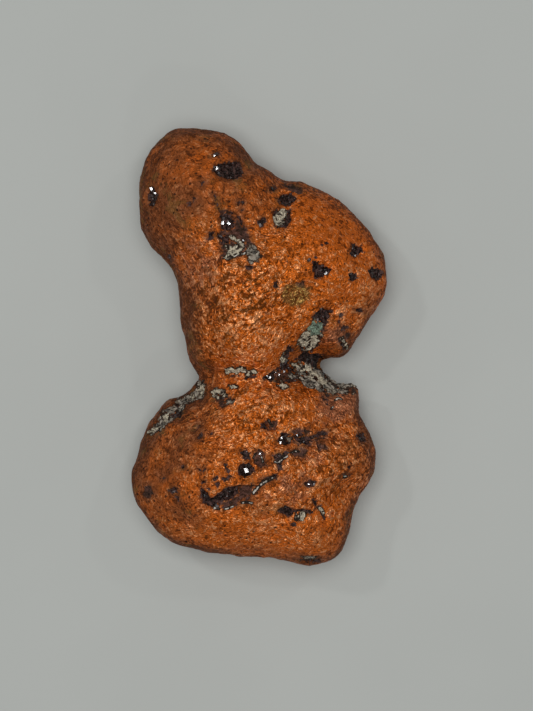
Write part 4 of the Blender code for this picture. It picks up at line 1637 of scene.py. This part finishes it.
    def build(self) -> bpy.types.Object:
        """Make, carve and dress the lump.

        Returns:
            The finished lump.
        """
        lump = self.skinned()
        self.refine(lump.data)
        log.info("skin %d faces", len(lump.data.polygons))
        BakeMap().spread(lump.data)
        log.info("bake map laid")
        points = read_array(lump.data, Reading.PLACE) / MM
        normals = read_array(lump.data, Reading.NORMAL)
        sunk, masks = self.carve(points, normals)
        lift = self.lifted(points, sunk, masks) - sunk - self.prick(points)
        points += normals * (lift * smooth_step(self.ground_fade, points[:, 2]))[:, None]
        points[:, 2] = np.maximum(points[:, 2], 0.0)
        move_vertices(lump.data, points)
        self.mottle(points, normals, masks)
        for name, values in masks.items():
            write_mask(lump.data, name, values)
        lump.data.shade_smooth()
        lump.data.materials.append(self.finish.material())
        return lump


# ------------------------------------------------------------------ crystals and crusts
@dataclass(frozen=True)
class Solid:
    """A little solid to strew, by its corners and its flat faces."""

    corners: np.ndarray
    faces: tuple[tuple[int, ...], ...]

    @classmethod
    def cube(cls) -> "Solid":
        """A cube.

        Returns:
            One of half side 0.8.
        """
        sides = (-0.8, 0.8)
        corners = [(x, y, z) for z in sides for y in sides for x in sides]
        faces = ((0, 2, 3, 1), (4, 5, 7, 6), (0, 1, 5, 4), (1, 3, 7, 5), (3, 2, 6, 7), (2, 0, 4, 6))
        return cls(np.array(corners), faces)

    @classmethod
    def octahedron(cls) -> "Solid":
        """An octahedron.

        Returns:
            One of radius 1.1.
        """
        radius = 1.1
        corners = np.array([(1, 0, 0), (0, 1, 0), (-1, 0, 0), (0, -1, 0), (0, 0, 1), (0, 0, -1)])
        faces = [(k, (k + 1) % 4, 4) for k in range(4)] + [((k + 1) % 4, k, 5) for k in range(4)]
        return cls(corners * radius, tuple(faces))

    @classmethod
    def crumb(cls) -> "Solid":
        """A twenty-sided ball.

        Returns:
            One of radius 1.
        """
        ball = bmesh.new()
        bmesh.ops.create_icosphere(ball, subdivisions=1, radius=1.0)
        corners = np.array([corner.co[:] for corner in ball.verts])
        faces = tuple(tuple(corner.index for corner in face.verts) for face in ball.faces)
        ball.free()
        return cls(corners, faces)


@dataclass
class Strewing:
    """Gathers little solids and joins them into one mesh, each with its own cell of the bake map."""

    name: str
    corners: list[np.ndarray] = field(default_factory=list)
    faces: list[tuple[tuple[int, ...], ...]] = field(default_factory=list)
    shades: list[float] = field(default_factory=list)
    face_radius: float = 0.48

    def add(self, solid: Solid, place: Vector, stand: Matrix, size: np.ndarray, shade: float,
            jitter: np.ndarray | float = 1.0) -> None:
        """Add one solid.

        Args:
            solid: its shape.
            place: its middle, in millimetres.
            stand: its rotation.
            size: its half sizes.
            shade: what its material reads, 0 to 1.
            jitter: how far each corner is pulled in or out.
        """
        self.shades += [shade] * len(solid.corners)
        shaped = solid.corners * np.reshape(jitter, (-1, 1)) * size
        self.corners.append(shaped @ np.array(stand).T + np.array(place))
        self.faces.append(solid.faces)

    def net(self) -> list[Point]:
        """Give every face its own polygon in the bake map.

        Returns:
            One point a face corner, in order.
        """
        cells = math.ceil(math.sqrt(len(self.faces)))
        points = []
        for number, faces in enumerate(self.faces):
            parts = math.ceil(math.sqrt(len(faces)))
            for part, face in enumerate(faces):
                column = (number % cells) * parts + part % parts
                row = (number // cells) * parts + part // parts
                for corner in range(len(face)):
                    angle = math.tau * (corner + 0.5) / len(face)
                    points.append(((column + 0.5 + self.face_radius * math.cos(angle)) / (cells * parts),
                                   (row + 0.5 + self.face_radius * math.sin(angle)) / (cells * parts)))
        return points

    def joined(self, material: bpy.types.Material) -> bpy.types.Object:
        """Join everything into one piece.

        Args:
            material: its finish.

        Returns:
            The piece.
        """
        starts = np.cumsum([0] + [len(corners) for corners in self.corners[:-1]])
        faces = [tuple(corner + start for corner in face)
                 for start, solid in zip(starts, self.faces) for face in solid]
        mesh = bpy.data.meshes.new(self.name)
        mesh.from_pydata((np.concatenate(self.corners) * MM).tolist(), [], faces)
        bake_map = mesh.uv_layers.new(name=BAKE_MAP)
        bake_map.data.foreach_set("uv", np.array(self.net(), dtype=np.float32).ravel())
        write_mask(mesh, "shade", np.array(self.shades))
        mesh.materials.append(material)
        return new_object(self.name, mesh)


@dataclass(frozen=True)
class Sowing:
    """Where and how densely grains grow on the copper.

    Attributes: mask names the filling they grow in, start is the least distance inside its
    outline, count how many, smallest and largest their half sizes, sunk the share of their
    height under the skin, and ground_gap how high above the ground they start.
    """

    mask: Filling
    start: float
    count: int
    smallest: float
    largest: float
    sunk: float
    seed: int
    ground_gap: float = 1.0

    def spots(self, copper: bpy.types.Object) -> list[tuple[Vector, Vector, float]]:
        """Choose where the grains lie and how big each is.

        Args:
            copper: the finished copper lump.

        Returns:
            Each grain's place on the skin, the skin's normal there, and its half size.
        """
        mask = np.empty(len(copper.data.vertices), dtype=np.float32)
        copper.data.attributes[self.mask.value].data.foreach_get("value", mask)
        points = read_array(copper.data, Reading.PLACE) / MM
        normals = read_array(copper.data, Reading.NORMAL)
        rng = np.random.default_rng(self.seed)
        fits = np.flatnonzero((mask > self.start) & (points[:, 2] > self.ground_gap))
        chosen = rng.choice(fits, min(self.count, len(fits)), replace=False)
        sizes = rng.uniform(self.smallest, self.largest, len(chosen))
        return [(Vector(points[k]), Vector(normals[k]), size) for k, size in zip(chosen, sizes)]


def standing(normal: Vector, turn: float, lean: float) -> Matrix:
    """The rotation of a solid that stands on the skin, turned and leant by so many radians."""
    upright = normal.to_track_quat("Z", "Y").to_matrix()
    return upright @ Matrix.Rotation(turn, 3, "Z") @ Matrix.Rotation(lean, 3, "X")


@dataclass
class CupriteCrystals:
    """Little cubes and octahedra of cuprite, half sunk in the dark pits.

    A few cubes lie level, and a few more have clean, glossy faces that lean towards a lamp and
    catch its light.

    Attributes: height and breadth are a crystal's half sizes, as shares of the one that is sown.
    lean and level_lean say how far it tips, in radians. facet_sizes and facet_lift are a clean
    cube's half sizes and how far it stands out, as shares of its own half size. clear_height is
    well above the nugget.
    """

    sowing: Sowing = Sowing(mask=CUPRITE, start=0.12, count=1000, smallest=0.10, largest=0.34,
                            sunk=0.32, seed=21)
    height: float = 0.8
    breadth: Band = (0.5, 1.0)
    lean: float = 0.35
    level_share: float = 0.01
    level_lean: float = 0.15
    facet_sizes: tuple[float, float, float] = (1.0, 0.7, 0.6)
    facet_lift: float = 0.5
    clear_height: float = 60.0
    finish: CrystalFinish = field(default_factory=CrystalFinish)

    def build(self, copper: bpy.types.Object) -> bpy.types.Object:
        """Grow the crystals.

        Args:
            copper: the copper lump they grow on.

        Returns:
            All crystals as one mesh.
        """
        heap = Strewing("cuprite_crystals")
        self.grow(copper, heap)
        self.set_facets(copper, heap)
        return heap.joined(self.finish.material())

    def grow(self, copper: bpy.types.Object, heap: Strewing) -> None:
        """Strew crystals in the pits.

        Args:
            copper: the copper lump.
            heap: where they are gathered.
        """
        rng = np.random.default_rng(self.sowing.seed + 1)
        shapes = (Solid.cube(), Solid.octahedron())
        up = Vector((0.0, 0.0, 1.0))
        for place, normal, half in self.sowing.spots(copper):
            centre = place + normal * half * (self.height - 2.0 * self.sowing.sunk)
            level = rng.random() < self.level_share
            lean = rng.normal(0.0, self.level_lean if level else self.lean)
            stand = standing(up if level and normal.z > 0.0 else normal, rng.uniform(0.0, math.tau), lean)
            size = half * np.array([1.0, rng.uniform(*self.breadth), self.height])
            heap.add(shapes[0 if level else rng.integers(len(shapes))], centre, stand, size, shade=0.0)

    def set_facets(self, copper: bpy.types.Object, heap: Strewing) -> None:
        """Set clean cubes, each turned halfway between its lamp and the eye.

        Args:
            copper: the copper lump.
            heap: where they are gathered.
        """
        skin = BVHTree.FromObject(copper, bpy.context.evaluated_depsgraph_get())
        eye = Studio().eye()
        down = Vector((0.0, 0.0, -1.0))
        cube = Solid.cube()
        for facet in BRIGHT_FACETS:
            above = Vector((facet.x, facet.y, self.clear_height))
            place = skin.ray_cast(above * MM, down)[0] / MM
            to_lamp = (facet.lamp.place() - place).normalized()
            to_eye = (eye - place).normalized()
            stand = standing((to_lamp + to_eye).normalized(), turn=facet.x, lean=0.0)
            place += stand.col[2] * facet.half * self.facet_lift
            heap.add(cube, place, stand, facet.half * np.array(self.facet_sizes), shade=1.0)


@dataclass
class EarthyCrust:
    """A crust of angular crumbs, packed in pits and creases.

    Attributes: evenness above 1 makes most crumbs pale and below 1 most of them dark; length,
    breadth and height are a crumb's half sizes, as shares of the one that is sown.
    """

    name: str
    sowing: Sowing
    finish: CrustFinish
    evenness: float
    length: Band = (1.0, 2.0)
    breadth: Band = (0.5, 0.9)
    height: float = 0.6
    lean: float = 0.4
    jitter: Band = (0.75, 1.2)

    def build(self, copper: bpy.types.Object) -> bpy.types.Object:
        """Grow the crust.

        Args:
            copper: the copper lump it grows on.

        Returns:
            The crust as one mesh.
        """
        rng = np.random.default_rng(self.sowing.seed + 1)
        crumb = Solid.crumb()
        heap = Strewing(self.name)
        for place, normal, half in self.sowing.spots(copper):
            centre = place + normal * half * (1.0 - 2.0 * self.sowing.sunk)
            stand = standing(normal, rng.uniform(0.0, math.tau), rng.normal(0.0, self.lean))
            size = half * np.array([rng.uniform(*self.length), rng.uniform(*self.breadth), self.height])
            jitter = rng.uniform(*self.jitter, len(crumb.corners))
            heap.add(crumb, centre, stand, size, rng.beta(self.evenness, 1.0), jitter)
        return heap.joined(self.finish.material())


CRUSTS = (
    EarthyCrust(
        "matrix_crust",
        Sowing(mask=MATRIX, start=0.13, count=430, smallest=0.16, largest=0.36, sunk=0.5, seed=31),
        CrustFinish("matrix", pale=(0.61, 0.54, 0.40), dark=(0.06, 0.043, 0.032), thread=SOOT_AND_SHADOW,
                    thread_span=1.3),
        evenness=2.5),
    EarthyCrust(
        "grey_crust",
        Sowing(mask=GREY, start=0.12, count=520, smallest=0.16, largest=0.42, sunk=0.5, seed=51),
        CrustFinish("grey_matrix", pale=(0.35, 0.30, 0.24), dark=(0.018, 0.013, 0.010),
                    thread=(0.52, 0.47, 0.37), thread_span=1.0),
        evenness=0.7),
    EarthyCrust(
        "malachite_crust",
        Sowing(mask=MALACHITE, start=0.10, count=70, smallest=0.16, largest=0.32, sunk=0.45, seed=41),
        CrustFinish("malachite", pale=(0.25, 0.34, 0.25), dark=(0.04, 0.05, 0.035), thread=SOOT_AND_SHADOW,
                    thread_span=1.3),
        evenness=2.0),
)


# ------------------------------------------------------------------ the studio
@dataclass
class Studio:
    """Plain pale floor, soft light from above and a camera looking straight down."""

    floor_size: float = 3000.0
    camera_x: float = 1.25
    camera_y: float = -1.35
    girdle_height: float = 10.5
    camera_distance: float = 450.0
    frame_length: float = 121.66
    sensor: float = 36.0
    nearest_metres: float = 0.01
    sky_strength: float = 0.17
    softbox: Lamp = Lamp(-20.0, 10.0, 640.0, 2.13)
    softbox_size: float = 240.0
    lamps: tuple[Lamp, ...] = (LEFT_LAMP, RIGHT_LAMP, NEAR_LAMP)
    lamp_size: float = 26.0

    def floor(self) -> bpy.types.Object:
        """Lay the floor.

        Returns:
            The floor.
        """
        half = self.floor_size * MM / 2.0
        mesh = bpy.data.meshes.new("floor")
        corners = [(-half, -half, 0), (half, -half, 0), (half, half, 0), (-half, half, 0)]
        mesh.from_pydata(corners, [], [(0, 1, 2, 3)])
        mesh.materials.append(FloorFinish().material())
        return new_object("floor", mesh)

    def hang(self, name: str, lamp: Lamp, size: float) -> None:
        """Hang a square lamp that faces the nugget.

        Args:
            name: its name.
            lamp: its place and power.
            size: its side, in millimetres.
        """
        light = bpy.data.lights.new(name, "AREA")
        light.size = size * MM
        light.energy = lamp.watts
        made = bpy.data.objects.new(name, light)
        made.location = lamp.place() * MM
        made.rotation_euler = lamp.place().to_track_quat("Z", "Y").to_euler()
        made.visible_camera = False
        bpy.context.scene.collection.objects.link(made)

    def light(self) -> None:
        """Set the sky, the softbox and the small lamps."""
        world = bpy.data.worlds.new("studio")
        world.use_nodes = True
        sky = world.node_tree.nodes["Background"]
        sky.inputs["Color"].default_value = (1.0, 1.0, 1.0, 1.0)
        sky.inputs["Strength"].default_value = self.sky_strength
        bpy.context.scene.world = world
        self.hang("softbox", self.softbox, self.softbox_size)
        for number, lamp in enumerate(self.lamps, start=1):
            self.hang(f"lamp_{number}", lamp, self.lamp_size)

    def eye(self) -> Vector:
        """Where the camera is, in millimetres."""
        return Vector((self.camera_x, self.camera_y, self.girdle_height + self.camera_distance))

    def camera(self) -> None:
        """Look straight down on the nugget."""
        data = bpy.data.cameras.new("camera")
        data.sensor_width = self.sensor
        data.lens = self.sensor * self.camera_distance / self.frame_length
        data.clip_start = self.nearest_metres
        made = bpy.data.objects.new("camera", data)
        made.location = self.eye() * MM
        bpy.context.scene.collection.objects.link(made)
        bpy.context.scene.camera = made

    def build(self) -> bpy.types.Object:
        """Set everything up.

        Returns:
            The floor.
        """
        self.light()
        self.camera()
        bpy.context.scene.view_settings.view_transform = "Standard"
        return self.floor()


# ------------------------------------------------------------------ main
def fasten(piece: bpy.types.Object) -> None:
    """Let a piece ride on the nugget's body.

    Args:
        piece: the piece.
    """
    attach(piece, BODY)
    log.info("%s: %d faces", piece.name, len(piece.data.polygons))


def main() -> None:
    """Build the pieces in order."""
    logging.basicConfig(level=logging.INFO, format="%(name)s: %(message)s")
    Studio().build()
    copper = CopperSkin().build()
    fasten(copper)
    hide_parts(NODE)
    for crust in CRUSTS:
        fasten(crust.build(copper))
    fasten(CupriteCrystals().build(copper))


if __name__ == "__main__":
    main()
